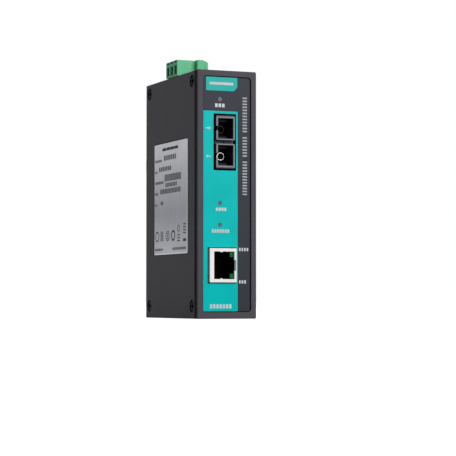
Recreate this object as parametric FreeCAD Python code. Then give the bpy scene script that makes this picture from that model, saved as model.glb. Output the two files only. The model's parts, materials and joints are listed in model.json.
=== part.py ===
"""Fibre media converter for a 35 mm rail: housing, boards, ports, terminal plug and rail clip.

Millimetres. X is the width, Y runs from the front face to the rail clip, Z is up.
The origin is the middle of the housing's underside.
"""
import FreeCAD
import Part
import math
import os

V = FreeCAD.Vector
AXIS_X = V(1, 0, 0)
AXIS_Y = V(0, 1, 0)
AXIS_Z = V(0, 0, 1)

# ---- housing ----
BODY_WIDTH = 30.0
BODY_DEPTH = 71.0
BODY_HEIGHT = 117.0
WALL = 2.0
FRONT_WALL = 2.4
EDGE_ROUND = 0.6
COVER_THICKNESS = 2.0
COVER_SETBACK = 2.6          # front face to the side cover's front edge
COVER_BEVEL_DEPTH = 1.9      # length of the bevel on the cover's front edge
COVER_BEVEL_RISE = 0.7
BEZEL_LIP = 1.0              # thickness of the bezel beside the side groove
GROOVE_DEPTH = 2.0
EDGE_BEVEL = 0.4             # roof's and floor's outer edges

# ---- front overlay ----
OVERLAY_MARGIN_SIDE = 2.7
OVERLAY_MARGIN_TOP = 2.7
OVERLAY_MARGIN_BOTTOM = 3.1
OVERLAY_RADIUS = 1.8
OVERLAY_RECESS = 1.0
OVERLAY_THICKNESS = 0.3
OVERLAY_GAP = 0.25

# ---- side label ----
LABEL_DEPTH = 46.0           # size along Y
LABEL_HEIGHT = 54.8
LABEL_RADIUS = 1.2
LABEL_THICKNESS = 0.15
LABEL_RECESS = 0.25
LABEL_GAP = 0.3
LABEL_CENTRE_Y = 0.75
LABEL_CENTRE_Z = 58.45

# ---- cover screws ----
COVER_SCREW_FRONT = 7.4      # distances from the housing's faces
COVER_SCREW_REAR = 5.3
COVER_SCREW_TOP = 4.8
COVER_SCREW_BOTTOM = 5.9
CUP_RADIUS = 3.0
CUP_DEPTH = 1.8
CUP_PAD_RADIUS = 3.9
CUP_PAD_THICKNESS = 1.0
CUP_PAD_GAP = 0.1            # pads to the shell's inside
BOSS_HALF = 3.3              # half a square boss's width
COVER_BOSS_LENGTH = 11.0
SCREW_RADIUS = 1.45          # M3 shank
SCREW_HEAD_RADIUS = 2.8
SCREW_HEAD_HEIGHT = 1.5
SCREW_LENGTH = 7.0
SCREW_CLEARANCE = 0.05       # shank to threaded hole
SCREW_HOLE_RADIUS = 1.65
SCREW_CROWN = 0.4            # share of a head's height that is bevelled
CROSS_WIDTH = 1.0
CROSS_LENGTH = 3.2
CROSS_DEPTH = 0.9
SHANK_SIDES = 12             # flat sides that stand in for a thread

# ---- main board ----
BOARD_THICKNESS = 1.6
BOARD_INSET = 10.4           # housing's right face to the face that carries the ports
BOARD_GAP = 0.5
BOARD_TOP_GAP = 5.5          # housing top to the board's top edge
BOARD_POST_Y = (-19.0, 27.0)
BOARD_POST_Z = (8.5, 106.5)
BOARD_POST_RADIUS = 3.2
BOARD_SCREW_LENGTH = 5.5
BOARD_SCREW_HEAD = 2.0       # head height

# ---- copper jack ----
JACK_HEIGHT = 13.5           # along X, off the board
JACK_WIDTH = 16.0            # along Z
JACK_DEPTH = 21.3
JACK_PROUD = 0.4
JACK_CENTRE_Z = 25.1
JACK_CUT_GAP = 0.45
JACK_CUT_LEFT = 0.75         # the wider gap beside the contacts' wall
JACK_LEFT_WALL = 2.1
JACK_RIGHT_WALL = 1.0
JACK_END_WALL = 1.5
JACK_FRAME = 1.2             # depth of the pale front frame
JACK_SHELL = 1.0             # shell wall behind the frame
JACK_LINER = 0.35            # step from the frame's window to the liner's inside
JACK_CAVITY_DEPTH = 15.4
LATCH_NOTCH_WIDTH = 5.1
LATCH_NOTCH_DEPTH = 0.7
LATCH_NOTCH_WALL = 0.3        # liner left beside the channel
CONTACT_COUNT = 8
CONTACT_PITCH = 1.02
CONTACT_WIDTH = 0.46
CONTACT_THICKNESS = 0.35
CONTACT_DROP = 3.2
JACK_LIGHT_HEIGHT = 1.8      # along X
JACK_LIGHT_WIDTH = 2.2       # along Z
JACK_LIGHT_RECESS = 0.6
JACK_ROUND = 0.3
NUB_WIDTH = 1.2              # small stops in the frame's window, along X
NUB_HEIGHT = 0.3
NUB_OFFSET = 1.4             # window's middle to the stops
CONTACT_FRONT = 1.0          # liner's front edge to the contacts' bend
CONTACT_BEND = 0.6
CONTACT_TIP_SETBACK = 4.5    # cavity's back wall to the fingers' tips

# ---- fibre transceiver ----
FIBRE_STANDOFF = 0.83        # transceiver's body to the main board's face
FIBRE_CENTRE_Z = 83.2
FIBRE_HEIGHT = 9.44          # along X, off the board
FIBRE_WIDTH = 25.0           # along Z
FIBRE_LENGTH = 39.0
FIBRE_PROUD = 0.4
FIBRE_COLLAR = 2.4           # the collars stand this far ahead of the body
FIBRE_CUT_SIDE = 1.03
FIBRE_CUT_END = 0.9
COLLAR_BAND = 1.8            # gap between the two collars
PORT_PITCH = 12.7
PORT_WIDTH = 7.6             # along X
PORT_HEIGHT = 9.5            # along Z
PORT_DEPTH = 13.0
KEY_WIDTH = 2.2
KEY_DEPTH = 7.0
BARREL_RADIUS = 1.95
BARREL_BORE = 1.25           # a 2.5 mm ferrule
BARREL_SETBACK = 6.6         # collar face to the barrel's tip
BARREL_BORE_DEPTH = 6.0
BARREL_LEAD = 0.25           # bevel at the bore's mouth
BARREL_FLANGE_RADIUS = 2.6
HOOK_BASE = 1.4
HOOK_ARM = 0.9
HOOK_WIDTH = 4.6
HOOK_SETBACK = 4.3           # collar face to the hook tips
HOOK_TIP = 0.6
HOOK_TIP_LENGTH = 1.3
HOOK_WALL_GAP = 0.25         # cavity's wall to an arm
FIBRE_PIN_COUNT = 9
FIBRE_PIN_PITCH = 2.54
FIBRE_PIN = 0.46             # side of a square pin
PIN_HOLE_GAP = 0.15
FIBRE_PIN_SETBACK = 3.0      # body's rear to the row of pins
FIBRE_POST_RADIUS = 0.95
FIBRE_POST_HOLE = 1.05
FIBRE_POST_Y = -14.0
FIBRE_POST_INSET = 2.2       # body's end to a post's axis
FIBRE_FOOT = (3.0, 2.0)      # along Y and Z
FIBRE_FOOT_INSET = 2.0       # board's front edge to the front feet
FIBRE_ROUND = 0.5
COLLAR_ROUND = 0.35
COLLAR_BAND_SLOT = 0.5       # width and depth of the slot between the collars
LID_LINE = (0.3, 0.6)        # depth and width of the seam round the lid
LID_LINE_SETBACK = 2.0       # cavities' back wall to the seam
PIN_TAIL = 1.2

# ---- indicators ----
INDICATOR_X = -3.4
INDICATOR_Z = {"power": 103.4, "fibre": 54.4, "duplex": 44.1}
PIPE_RADIUS = 1.0
PIPE_GAP = 0.06
PIPE_FLANGE_RADIUS = 1.6
PIPE_FLANGE = 0.8
LED_RADIUS = 1.5
LED_LENGTH = 4.4
LED_RIM_RADIUS = 1.75
LED_RIM = 0.9
LED_GAP = 0.3
LEAD_WIDTH = 0.5
LEAD_SPACING = 1.27
LEAD_ROOT = 0.1              # how far a lead starts inside its part
LED_LEAD_BEND = 2.0          # lamp's back to the middle of its leads' bends

# ---- power board under the roof ----
POWER_BOARD_GAP = 0.4        # roof to the board's top face
POWER_BOARD_LEFT = -11.5
POWER_BOARD_RIGHT = 9.5
POWER_BOARD_LENGTH = 38.0
ROOF_PAD = 3.0               # width of the two bars that the power board lies against
LINK_PIN_COUNT = 6
LINK_PIN_PITCH = 2.54
LINK_PIN_WIDTH = 0.64
LINK_PIN_X = 2.6
LINK_PIN_DROP = 5.0
LINK_PIN_Y = 8.0

# ---- terminal header and plug ----
POLE_COUNT = 3
POLE_PITCH = 5.08
PLUG_INSET = 0.4             # housing's left face to the plug's
PLUG_LENGTH = 9.2            # along X, without the nose
PLUG_HEIGHT = 7.7
PLUG_ROOF_GAP = 0.3
PLUG_ROUND = 0.3
HEADER_LENGTH = 5.5          # along X
HEADER_END = 2.9             # header's reach past the plug at each end
HEADER_WALL = 0.85
HEADER_BACK = 1.3
HEADER_CHAMFER_X = 2.6
HEADER_CHAMFER_Z = 1.2
HEADER_CLEARANCE = 0.25
PLUG_GAP = 0.2               # plug's shoulder to the header's face
NOSE_CLEARANCE = 0.25
NOSE_END_GAP = 0.3
HEADER_PIN = 1.0
HEADER_PIN_RISE = 3.45       # plug's underside to the pin's axis
HEADER_PIN_REACH = 3.7
CAGE_INSET = 4.0             # plug's left face to the cage's axis
CAGE_LENGTH = 3.6            # along X
CAGE_WIDTH = 4.2             # along Y
CAGE_HEIGHT = 4.0
CAGE_SIDE = 0.4
CAGE_FLOOR = 0.6
CAGE_ROOF = 0.9
CAGE_TRAVEL = 1.2
CAGE_GAP = 0.15
CAGE_RISE = 0.7              # plug's underside to the cage's at rest
CLAMP_PITCH = 0.5            # the clamp screw's rise for each turn
CLAMP_SHANK_RADIUS = 1.15
CLAMP_CLEARANCE = 0.05
CLAMP_HEAD_RADIUS = 1.7
CLAMP_HEAD_HEIGHT = 1.0
CLAMP_HEAD_GAP = 0.05        # head's underside to its seat
CLAMP_SLOT_WIDTH = 0.5
CLAMP_SLOT_DEPTH = 0.6
WELL_RADIUS = 1.9
WELL_WEB = 0.5
WIRE_WIDTH = 3.4
WIRE_HEIGHT = 4.3
WIRE_RISE = 0.9              # plug's underside to the wire entry's
PROBE_WIDTH = 2.9
FORK_LEAF = 0.25
FORK_GAP = 0.1
FORK_WIDTH = 2.6
FORK_SLOT_GAP = 0.3          # fork's leaves to the passage above and below them
FORK_BLOCK = 1.4             # length of the contact's middle block
BAR_THICKNESS = 0.5
BAR_GAP = 0.1

# ---- rail clip ----
RAIL_HEIGHT = 35.0
RAIL_FLANGE = 1.0
RAIL_CENTRE_Z = 57.0
RAIL_GAP = 0.15
CLIP_STANDOFF = 2.6          # housing's rear face to the rail's flange
CLIP_DEPTH = 8.0
CLIP_WIDTH = 24.0
CLIP_TOP = 82.0
CLIP_BOTTOM = 14.0
HOOK_LIP_OVERLAP = 2.4       # how far the fixed hook reaches over the rail's edge
LATCH_LIP_OVERLAP = 1.3
LATCH_WIDTH = 12.0
LATCH_THICKNESS = 2.2
LATCH_GAP = 0.2
LATCH_BOTTOM = 5.0
LATCH_LIP_ROOT = 34.6        # where the latch's lip starts to stand out
TAB_HEIGHT = 4.0
TAB_REACH = 2.0
TAB_SLOT_WIDTH = 5.0
TAB_SLOT_HEIGHT = 2.2
LATCH_TRAVEL = 3.4
GUIDE_WIDTH = 2.6
GUIDE_LIP = 1.6
GUIDE_LIP_THICKNESS = 1.2
GUIDE_TOP = 30.5
SPRING_SEAT_Z = 20.0
SPRING_SEAT_HEIGHT = 2.5
SPRING_SEAT_WIDTH = 5.4
LATCH_WINDOW_TOP = 33.0
LATCH_WINDOW_WIDTH = 6.2
SPRING_OFFSET = 0.3          # clip's face to the coil's axis
SPRING_RADIUS = 1.6          # coil's mean radius
SPRING_WIRE = 0.28           # wire radius
SPRING_TURNS = 7             # with a closed turn at each end
SPRING_STEPS = 12            # straight runs in each turn
SPRING_CLOSE = 1.05          # pitch of a closed turn in wire widths
CLIP_SCREW_Z = (46.0, 68.0)
CLIP_SCREW_X = 8.8
CLIP_SCREW_RADIUS = 1.2
CLIP_SCREW_HEAD = 2.0
CLIP_SCREW_LENGTH = 5.5
CLIP_SCREW_SINK = 1.5
CLIP_BOSS_HALF = 2.4
CLIP_BOSS_DEPTH = 3.0
CLIP_HEAD_GAP = 0.2          # round and above a sunk head
CLIP_HOLE_GAP = 0.15
CLIP_ROUND = 1.5
HOOK_SLOPE = 2.0             # bevels on the hook's and the latch's lips
HOOK_TOP_SETBACK = 0.5       # plate's top edge to the hook's
LIP_SLOPE = 2.4              # rise of the latch's lip where it leaves the slide
TAB_THICKNESS = 1.5
TAB_SLOT_GAP = 0.4           # tab's root to the slot

# ---- option switches in the floor ----
SWITCH_COUNT = 4
SWITCH_PITCH = 2.54
SWITCH_CENTRE_Y = -9.5
SWITCH_HEIGHT = 6.4          # along X, off the board
SWITCH_BOTTOM = 1.2          # Z of the face that carries the levers
SWITCH_DEPTH = 6.0
SWITCH_LENGTH = 11.7
SWITCH_WINDOW_GAP = 0.3
LEVER_WIDTH = 1.2
LEVER_LENGTH = 1.3
LEVER_PROUD = 0.6
LEVER_ROOT = 1.6
LEVER_TRAVEL = 1.2
LEVER_CLEARANCE = 0.08
LEVER_CHAMFER = 0.15


# ---- places worked out from the sizes ----
LEFT = -BODY_WIDTH / 2
RIGHT = BODY_WIDTH / 2
FRONT = -BODY_DEPTH / 2
REAR = BODY_DEPTH / 2
TOP = BODY_HEIGHT
INNER_LEFT = LEFT + COVER_THICKNESS
INNER_RIGHT = RIGHT - WALL
INNER_FRONT = FRONT + FRONT_WALL
INNER_REAR = REAR - WALL
INNER_BOTTOM = WALL
INNER_TOP = TOP - WALL
COVER_FRONT = FRONT + COVER_SETBACK
BOARD_FACE = RIGHT - BOARD_INSET
BOARD_BACK = BOARD_FACE + BOARD_THICKNESS
FIBRE_CENTRE_X = BOARD_FACE - FIBRE_STANDOFF - FIBRE_HEIGHT / 2
BOARD_FRONT_EDGE = INNER_FRONT + BOARD_GAP
BOARD_REAR_EDGE = INNER_REAR - BOARD_GAP
BOARD_BOTTOM = INNER_BOTTOM + 2 * BOARD_GAP
BOARD_TOP = TOP - BOARD_TOP_GAP
OVERLAY_LEFT = LEFT + OVERLAY_MARGIN_SIDE
OVERLAY_RIGHT = RIGHT - OVERLAY_MARGIN_SIDE
OVERLAY_BOTTOM = OVERLAY_MARGIN_BOTTOM
OVERLAY_TOP = TOP - OVERLAY_MARGIN_TOP
COVER_SCREWS = [(y, z) for y in (FRONT + COVER_SCREW_FRONT, REAR - COVER_SCREW_REAR)
                for z in (COVER_SCREW_BOTTOM, TOP - COVER_SCREW_TOP)]
BOARD_SCREWS = [(y, z) for y in BOARD_POST_Y for z in BOARD_POST_Z]
POWER_BOARD_TOP = INNER_TOP - POWER_BOARD_GAP
POWER_BOARD_BOTTOM = POWER_BOARD_TOP - BOARD_THICKNESS
POLES = [(i - (POLE_COUNT - 1) / 2) * POLE_PITCH for i in range(POLE_COUNT)]
PLUG_HALF = POLE_COUNT * POLE_PITCH / 2
PLUG_BOTTOM = TOP + PLUG_ROOF_GAP
PLUG_TOP = PLUG_BOTTOM + PLUG_HEIGHT
PLUG_LEFT = LEFT + PLUG_INSET
PLUG_SHOULDER = PLUG_LEFT + PLUG_LENGTH
HEADER_LEFT = PLUG_SHOULDER + PLUG_GAP
HEADER_RIGHT = HEADER_LEFT + HEADER_LENGTH
HEADER_PIN_Z = PLUG_BOTTOM + HEADER_PIN_RISE
CAGE_X = PLUG_LEFT + CAGE_INSET
WIRE_BOTTOM = PLUG_BOTTOM + WIRE_RISE
WIRE_TOP = WIRE_BOTTOM + WIRE_HEIGHT
HEADER_HALF = PLUG_HALF + HEADER_END
CLIP_FACE = REAR + CLIP_STANDOFF
CLIP_BACK = REAR + CLIP_DEPTH
RAIL_TOP = RAIL_CENTRE_Z + RAIL_HEIGHT / 2
RAIL_BOTTOM = RAIL_CENTRE_Z - RAIL_HEIGHT / 2
LIP_FRONT = CLIP_FACE + RAIL_FLANGE + 2 * RAIL_GAP
LATCH_FRONT = CLIP_FACE + LATCH_GAP
LATCH_BACK = LATCH_FRONT + LATCH_THICKNESS


# ---- shared helpers ----
def box(x0, x1, y0, y1, z0, z1):
    """A block between two values on each axis."""
    return Part.makeBox(x1 - x0, y1 - y0, z1 - z0, V(x0, y0, z0))


def rod(radius, start, end):
    """A round bar from one point to another."""
    run = end - start
    return Part.makeCylinder(radius, run.Length, start, run)


def flat_sided_rod(radius, sides, start, end):
    """A bar with flat sides from one point to another; radius reaches its corners."""
    run = end - start
    turn = FreeCAD.Rotation(AXIS_Z, run)
    angles = [2 * math.pi * i / sides for i in range(sides)]
    return prism([start + turn * V(radius * math.cos(a), radius * math.sin(a), 0) for a in angles], run)


def edges_along(shape, axis):
    """The straight edges of a shape that run along one axis."""
    found = []
    for edge in shape.Edges:
        if len(edge.Vertexes) == 2:
            run = edge.Vertexes[1].Point - edge.Vertexes[0].Point
            if run.Length > 0 and abs(run.dot(axis)) > 0.999 * run.Length:
                found.append(edge)
    return found


def round_block(x0, x1, y0, y1, z0, z1, radius, axis):
    """A block whose four edges along one axis are rounded."""
    block = box(x0, x1, y0, y1, z0, z1)
    return block.makeFillet(radius, edges_along(block, axis))


def prism(points, run):
    """A flat outline, given as points in order, carried straight along a vector."""
    outline = Part.makePolygon(list(points) + [points[0]])
    return Part.Face(outline).extrude(run)


def turned(points, centre, axis):
    """A closed half-profile of (radius, height) pairs turned about an axis through centre."""
    outline = Part.makePolygon([V(r, 0, h) for r, h in points] + [V(points[0][0], 0, points[0][1])])
    solid = Part.Face(outline).revolve(V(0, 0, 0), AXIS_Z, 360)
    turn = FreeCAD.Rotation(AXIS_Z, axis)
    solid.Placement = FreeCAD.Placement(centre, turn)
    return solid


def join(shapes):
    """One solid from several that touch or overlap."""
    return shapes[0].fuse(shapes[1:]).removeSplitter()


def group(shapes):
    """Separate solids kept together as one sub-part."""
    return Part.makeCompound(shapes)


def cross_screw(seat, axis, head_radius, head_height, shank_radius, length):
    """A pan-head screw. Its head's underside is at seat and axis points from the tip to the head."""
    crown = head_height * SCREW_CROWN
    head = turned([(0, 0), (head_radius, 0), (head_radius, head_height - crown),
                   (head_radius - crown, head_height), (0, head_height)], seat, axis)
    shank = flat_sided_rod(shank_radius, SHANK_SIDES, seat - axis * length, seat + axis * (head_height / 4))
    screw = join([head, shank])
    cuts = []
    for arm in (AXIS_Z, axis.cross(AXIS_Z)):
        turn = FreeCAD.Rotation(arm, axis.cross(arm), axis, "XYZ")
        slot = box(-CROSS_LENGTH / 2, CROSS_LENGTH / 2, -CROSS_WIDTH / 2, CROSS_WIDTH / 2, -CROSS_DEPTH, 1)
        slot.Placement = FreeCAD.Placement(seat + axis * head_height, turn)
        cuts.append(slot)
    return screw.cut(cuts)


# ---- housing ----
def outer_block():
    """The whole housing's outside: upright edges rounded, the roof's and the floor's bevelled."""
    block = round_block(LEFT, RIGHT, FRONT, REAR, 0, TOP, EDGE_ROUND, AXIS_Z)
    ends = [face for face in block.Faces if abs(face.normalAt(0, 0).z) > 0.99]
    return block.makeChamfer(EDGE_BEVEL, [edge for face in ends for edge in face.Edges])


def fibre_window(y0, y1):
    """The opening in the front for the two fibre ports."""
    half_x = FIBRE_HEIGHT / 2 + FIBRE_CUT_SIDE
    half_z = FIBRE_WIDTH / 2 + FIBRE_CUT_END
    return box(FIBRE_CENTRE_X - half_x, FIBRE_CENTRE_X + half_x, y0, y1,
               FIBRE_CENTRE_Z - half_z, FIBRE_CENTRE_Z + half_z)


def jack_window(y0, y1):
    """The opening in the front for the copper jack."""
    half_z = JACK_WIDTH / 2 + JACK_CUT_GAP
    return box(BOARD_FACE - JACK_HEIGHT - JACK_CUT_LEFT, BOARD_FACE + JACK_CUT_GAP, y0, y1,
               JACK_CENTRE_Z - half_z, JACK_CENTRE_Z + half_z)


def indicator_holes(radius, y0, y1):
    """Three round holes for the light pipes."""
    return [rod(radius, V(INDICATOR_X, y0, z), V(INDICATOR_X, y1, z)) for z in INDICATOR_Z.values()]


def overlay_prism(inset, y0, y1):
    """The overlay's outline, drawn in by inset."""
    return round_block(OVERLAY_LEFT + inset, OVERLAY_RIGHT - inset, y0, y1,
                       OVERLAY_BOTTOM + inset, OVERLAY_TOP - inset, OVERLAY_RADIUS - inset, AXIS_Y)


def cover_boss(y, z):
    """A square screw boss for the side cover, tied to the nearer of the roof and the floor."""
    left = INNER_LEFT + CUP_PAD_THICKNESS
    right = left + COVER_BOSS_LENGTH
    low = z - BOSS_HALF if z > TOP / 2 else INNER_BOTTOM - WALL / 2
    high = INNER_TOP + WALL / 2 if z > TOP / 2 else z + BOSS_HALF
    return box(left, right, y - BOSS_HALF, y + BOSS_HALF, low, high)


def cover_boss_hole(y, z):
    """The threaded hole in a cover boss."""
    left = INNER_LEFT + CUP_PAD_THICKNESS
    return rod(SCREW_RADIUS + SCREW_CLEARANCE, V(left - 1, y, z), V(left + SCREW_LENGTH, y, z))


def board_post(y, z):
    """A six-sided post from the right wall to the back of the main board."""
    return flat_sided_rod(BOARD_POST_RADIUS, 6, V(RIGHT - WALL / 2, y, z), V(BOARD_BACK, y, z))


def board_post_hole(y, z):
    """The threaded hole in a board post."""
    depth = BOARD_SCREW_LENGTH - BOARD_THICKNESS + 1
    return rod(SCREW_RADIUS + SCREW_CLEARANCE, V(BOARD_BACK - 1, y, z), V(BOARD_BACK + depth, y, z))


def header_opening(z0, z1):
    """The opening in the roof for the terminal header."""
    return box(HEADER_LEFT - HEADER_CLEARANCE, HEADER_RIGHT + HEADER_CLEARANCE,
               -HEADER_HALF - HEADER_CLEARANCE, HEADER_HALF + HEADER_CLEARANCE, z0, z1)


def roof_pads():
    """Two bars under the roof that the power board lies against."""
    half = POWER_BOARD_LENGTH / 2
    pads = []
    for end in (-1, 1):
        y0, y1 = sorted((end * half, end * (half - ROOF_PAD)))
        pads.append(box(POWER_BOARD_LEFT + 1, POWER_BOARD_RIGHT, y0, y1, POWER_BOARD_TOP, INNER_TOP + WALL / 2))
    return pads


def switch_window():
    """The slot in the floor where the option switches are reached."""
    half = SWITCH_LENGTH / 2 + SWITCH_WINDOW_GAP
    return box(BOARD_FACE - SWITCH_HEIGHT - SWITCH_WINDOW_GAP, BOARD_FACE + SWITCH_WINDOW_GAP,
               SWITCH_CENTRE_Y - half, SWITCH_CENTRE_Y + half, -1, INNER_BOTTOM + 1)


def clip_bosses():
    """Thickened places inside the rear wall for the clip's screws."""
    half = CLIP_BOSS_HALF
    return [box(x - half, x + half, INNER_REAR - CLIP_BOSS_DEPTH, INNER_REAR + WALL / 2, z - half, z + half)
            for x in (-CLIP_SCREW_X, CLIP_SCREW_X) for z in CLIP_SCREW_Z]


def clip_screw_holes(radius, y0, y1):
    """Holes on the clip screws' axes."""
    return [rod(radius, V(x, y0, z), V(x, y1, z)) for x in (-CLIP_SCREW_X, CLIP_SCREW_X) for z in CLIP_SCREW_Z]


def main_shell():
    """Bezel, roof, floor, rear and right wall in one piece, open on the left."""
    inside = box(LEFT - 1, INNER_RIGHT, INNER_FRONT, INNER_REAR, INNER_BOTTOM, INNER_TOP)
    cover_space = box(LEFT - 1, INNER_LEFT, COVER_FRONT, REAR + 1, -1, TOP + 1)
    groove = box(LEFT - 1, LEFT + GROOVE_DEPTH, FRONT + BEZEL_LIP, COVER_FRONT + 0.1, -1, TOP + 1)
    shell = outer_block().cut([inside, cover_space, groove])
    added = [cover_boss(y, z) for y, z in COVER_SCREWS]
    added += [board_post(y, z) for y, z in BOARD_SCREWS]
    added += roof_pads() + clip_bosses()
    shell = join([shell] + added)
    cuts = [overlay_prism(0, FRONT - 1, FRONT + OVERLAY_RECESS)]
    cuts += [fibre_window(FRONT - 1, INNER_FRONT + 1), jack_window(FRONT - 1, INNER_FRONT + 1)]
    cuts += indicator_holes(PIPE_RADIUS + PIPE_GAP, FRONT - 1, INNER_FRONT + 1)
    cuts += [cover_boss_hole(y, z) for y, z in COVER_SCREWS]
    cuts += [board_post_hole(y, z) for y, z in BOARD_SCREWS]
    cuts += [header_opening(POWER_BOARD_TOP - 1, TOP + 1), switch_window()]
    cuts += clip_screw_holes(CLIP_SCREW_RADIUS + SCREW_CLEARANCE, INNER_REAR - CLIP_BOSS_DEPTH - 1, REAR + 1)
    return shell.cut(cuts)


def side_cover():
    """Left cover plate with a bevelled front edge, four screw cups and a pocket for the label."""
    slab = outer_block().common(box(LEFT - 1, INNER_LEFT, COVER_FRONT, REAR + 1, -1, TOP + 1))
    bevel = prism([V(LEFT - 1, COVER_FRONT - 1, -1), V(LEFT + COVER_BEVEL_RISE, COVER_FRONT - 1, -1),
                   V(LEFT + COVER_BEVEL_RISE, COVER_FRONT, -1), V(LEFT, COVER_FRONT + COVER_BEVEL_DEPTH, -1),
                   V(LEFT - 1, COVER_FRONT + COVER_BEVEL_DEPTH, -1)], V(0, 0, TOP + 2))
    slab = slab.cut(bevel)
    room = box(INNER_LEFT - 1, INNER_RIGHT, INNER_FRONT + CUP_PAD_GAP, INNER_REAR - CUP_PAD_GAP,
               INNER_BOTTOM + CUP_PAD_GAP, INNER_TOP - CUP_PAD_GAP)
    pads = [rod(CUP_PAD_RADIUS, V(INNER_LEFT - 0.5, y, z), V(INNER_LEFT + CUP_PAD_THICKNESS, y, z)).common(room)
            for y, z in COVER_SCREWS]
    plate = join([slab] + pads)
    cuts = [rod(CUP_RADIUS, V(LEFT - 1, y, z), V(LEFT + CUP_DEPTH, y, z)) for y, z in COVER_SCREWS]
    cuts += [rod(SCREW_HOLE_RADIUS, V(LEFT, y, z), V(INNER_LEFT + 2, y, z)) for y, z in COVER_SCREWS]
    cuts.append(label_prism(LABEL_GAP, LEFT - 1, LEFT + LABEL_RECESS))
    return plate.cut(cuts)


def label_prism(grow, x0, x1):
    """The side label's outline, grown by grow all round."""
    half_y = LABEL_DEPTH / 2 + grow
    half_z = LABEL_HEIGHT / 2 + grow
    return round_block(x0, x1, LABEL_CENTRE_Y - half_y, LABEL_CENTRE_Y + half_y,
                       LABEL_CENTRE_Z - half_z, LABEL_CENTRE_Z + half_z, LABEL_RADIUS + grow, AXIS_X)


def side_label():
    """Plain metallised label in the cover's pocket."""
    return label_prism(0, LEFT + LABEL_RECESS - LABEL_THICKNESS, LEFT + LABEL_RECESS)


def front_overlay():
    """Printed sheet in the bezel's recess, cut out round the ports and the light pipes."""
    face = FRONT + OVERLAY_RECESS
    sheet = overlay_prism(OVERLAY_GAP, face - OVERLAY_THICKNESS, face)
    holes = indicator_holes(PIPE_RADIUS + PIPE_GAP, FRONT, face + 1)
    return sheet.cut([fibre_window(FRONT, face + 1), jack_window(FRONT, face + 1)] + holes)


def cover_screws():
    """Four black screws that hold the side cover."""
    return group([cross_screw(V(LEFT + CUP_DEPTH, y, z), -AXIS_X, SCREW_HEAD_RADIUS, SCREW_HEAD_HEIGHT,
                              SCREW_RADIUS, SCREW_LENGTH) for y, z in COVER_SCREWS])


# ---- copper jack ----
JACK_LEFT = BOARD_FACE - JACK_HEIGHT
JACK_FRONT = FRONT - JACK_PROUD
JACK_REAR = JACK_FRONT + JACK_DEPTH
JACK_BOTTOM = JACK_CENTRE_Z - JACK_WIDTH / 2
JACK_TOP = JACK_CENTRE_Z + JACK_WIDTH / 2
WINDOW_LEFT = JACK_LEFT + JACK_LEFT_WALL
WINDOW_RIGHT = BOARD_FACE - JACK_RIGHT_WALL
WINDOW_BOTTOM = JACK_BOTTOM + JACK_END_WALL
WINDOW_TOP = JACK_TOP - JACK_END_WALL
CAVITY_LEFT = WINDOW_LEFT + JACK_LINER
CAVITY_RIGHT = WINDOW_RIGHT - JACK_LINER
CAVITY_BOTTOM = WINDOW_BOTTOM + JACK_LINER
CAVITY_TOP = WINDOW_TOP - JACK_LINER
CAVITY_REAR = JACK_FRONT + JACK_CAVITY_DEPTH
LINER_FRONT = JACK_FRONT + JACK_FRAME
LINER_REAR = CAVITY_REAR + JACK_SHELL


def latch_channel(right, y0, y1):
    """The notch for the plug's latch, in the middle of the side nearest the board."""
    half = LATCH_NOTCH_WIDTH / 2
    return box(WINDOW_RIGHT - 1, right, y0, y1, JACK_CENTRE_Z - half, JACK_CENTRE_Z + half)


def liner_block():
    """The space inside the jack's shell that the black liner fills."""
    return box(JACK_LEFT + JACK_SHELL, BOARD_FACE - JACK_SHELL / 2, LINER_FRONT, LINER_REAR,
               JACK_BOTTOM + JACK_SHELL, JACK_TOP - JACK_SHELL)


def jack_housing():
    """Pale outer shell of the copper jack with its front frame and latch notch."""
    block = round_block(JACK_LEFT, BOARD_FACE, JACK_FRONT, JACK_REAR, JACK_BOTTOM, JACK_TOP, JACK_ROUND, AXIS_Y)
    window = box(WINDOW_LEFT, WINDOW_RIGHT, JACK_FRONT - 1, LINER_FRONT, WINDOW_BOTTOM, WINDOW_TOP)
    notch = latch_channel(WINDOW_RIGHT + LATCH_NOTCH_DEPTH, JACK_FRONT - 1, LINER_FRONT)
    nub_x = (WINDOW_LEFT + WINDOW_RIGHT) / 2 - NUB_OFFSET
    nubs = [box(nub_x - NUB_WIDTH / 2, nub_x + NUB_WIDTH / 2, JACK_FRONT, LINER_FRONT, z - NUB_HEIGHT, z + NUB_HEIGHT)
            for z in (WINDOW_BOTTOM, WINDOW_TOP)]
    return join([block.cut([window, notch, liner_block()])] + nubs)


def jack_insert():
    """Black liner behind the frame: the plug's cavity, latch channel and contact carrier."""
    cavity = box(CAVITY_LEFT, CAVITY_RIGHT, LINER_FRONT - 1, CAVITY_REAR, CAVITY_BOTTOM, CAVITY_TOP)
    channel = latch_channel(BOARD_FACE - JACK_SHELL / 2 - LATCH_NOTCH_WALL, LINER_FRONT - 1, CAVITY_REAR)
    return liner_block().cut([cavity, channel])


def contact_hairpin(z):
    """One spring contact: flat along the cavity's wall, bent back at the front to a sloping finger."""
    wall = CAVITY_LEFT
    t = CONTACT_THICKNESS
    turn = CONTACT_BEND
    bend = LINER_FRONT + CONTACT_FRONT
    tip_y = CAVITY_REAR - CONTACT_TIP_SETBACK
    tip_x = wall + CONTACT_DROP
    low = z - CONTACT_WIDTH / 2
    return prism([V(wall, CAVITY_REAR, low), V(wall, bend, low), V(wall + turn, bend - turn + t / 2, low),
                  V(tip_x, tip_y - t / 2, low), V(tip_x - t, tip_y, low), V(wall + turn, bend + turn + t / 2, low),
                  V(wall + t, bend + turn + t, low), V(wall + t, CAVITY_REAR, low)], V(0, 0, CONTACT_WIDTH))


def jack_contacts():
    """The row of gilt contacts on the cavity's left wall."""
    first = JACK_CENTRE_Z - (CONTACT_COUNT - 1) / 2 * CONTACT_PITCH
    return group([contact_hairpin(first + i * CONTACT_PITCH) for i in range(CONTACT_COUNT)])


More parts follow.
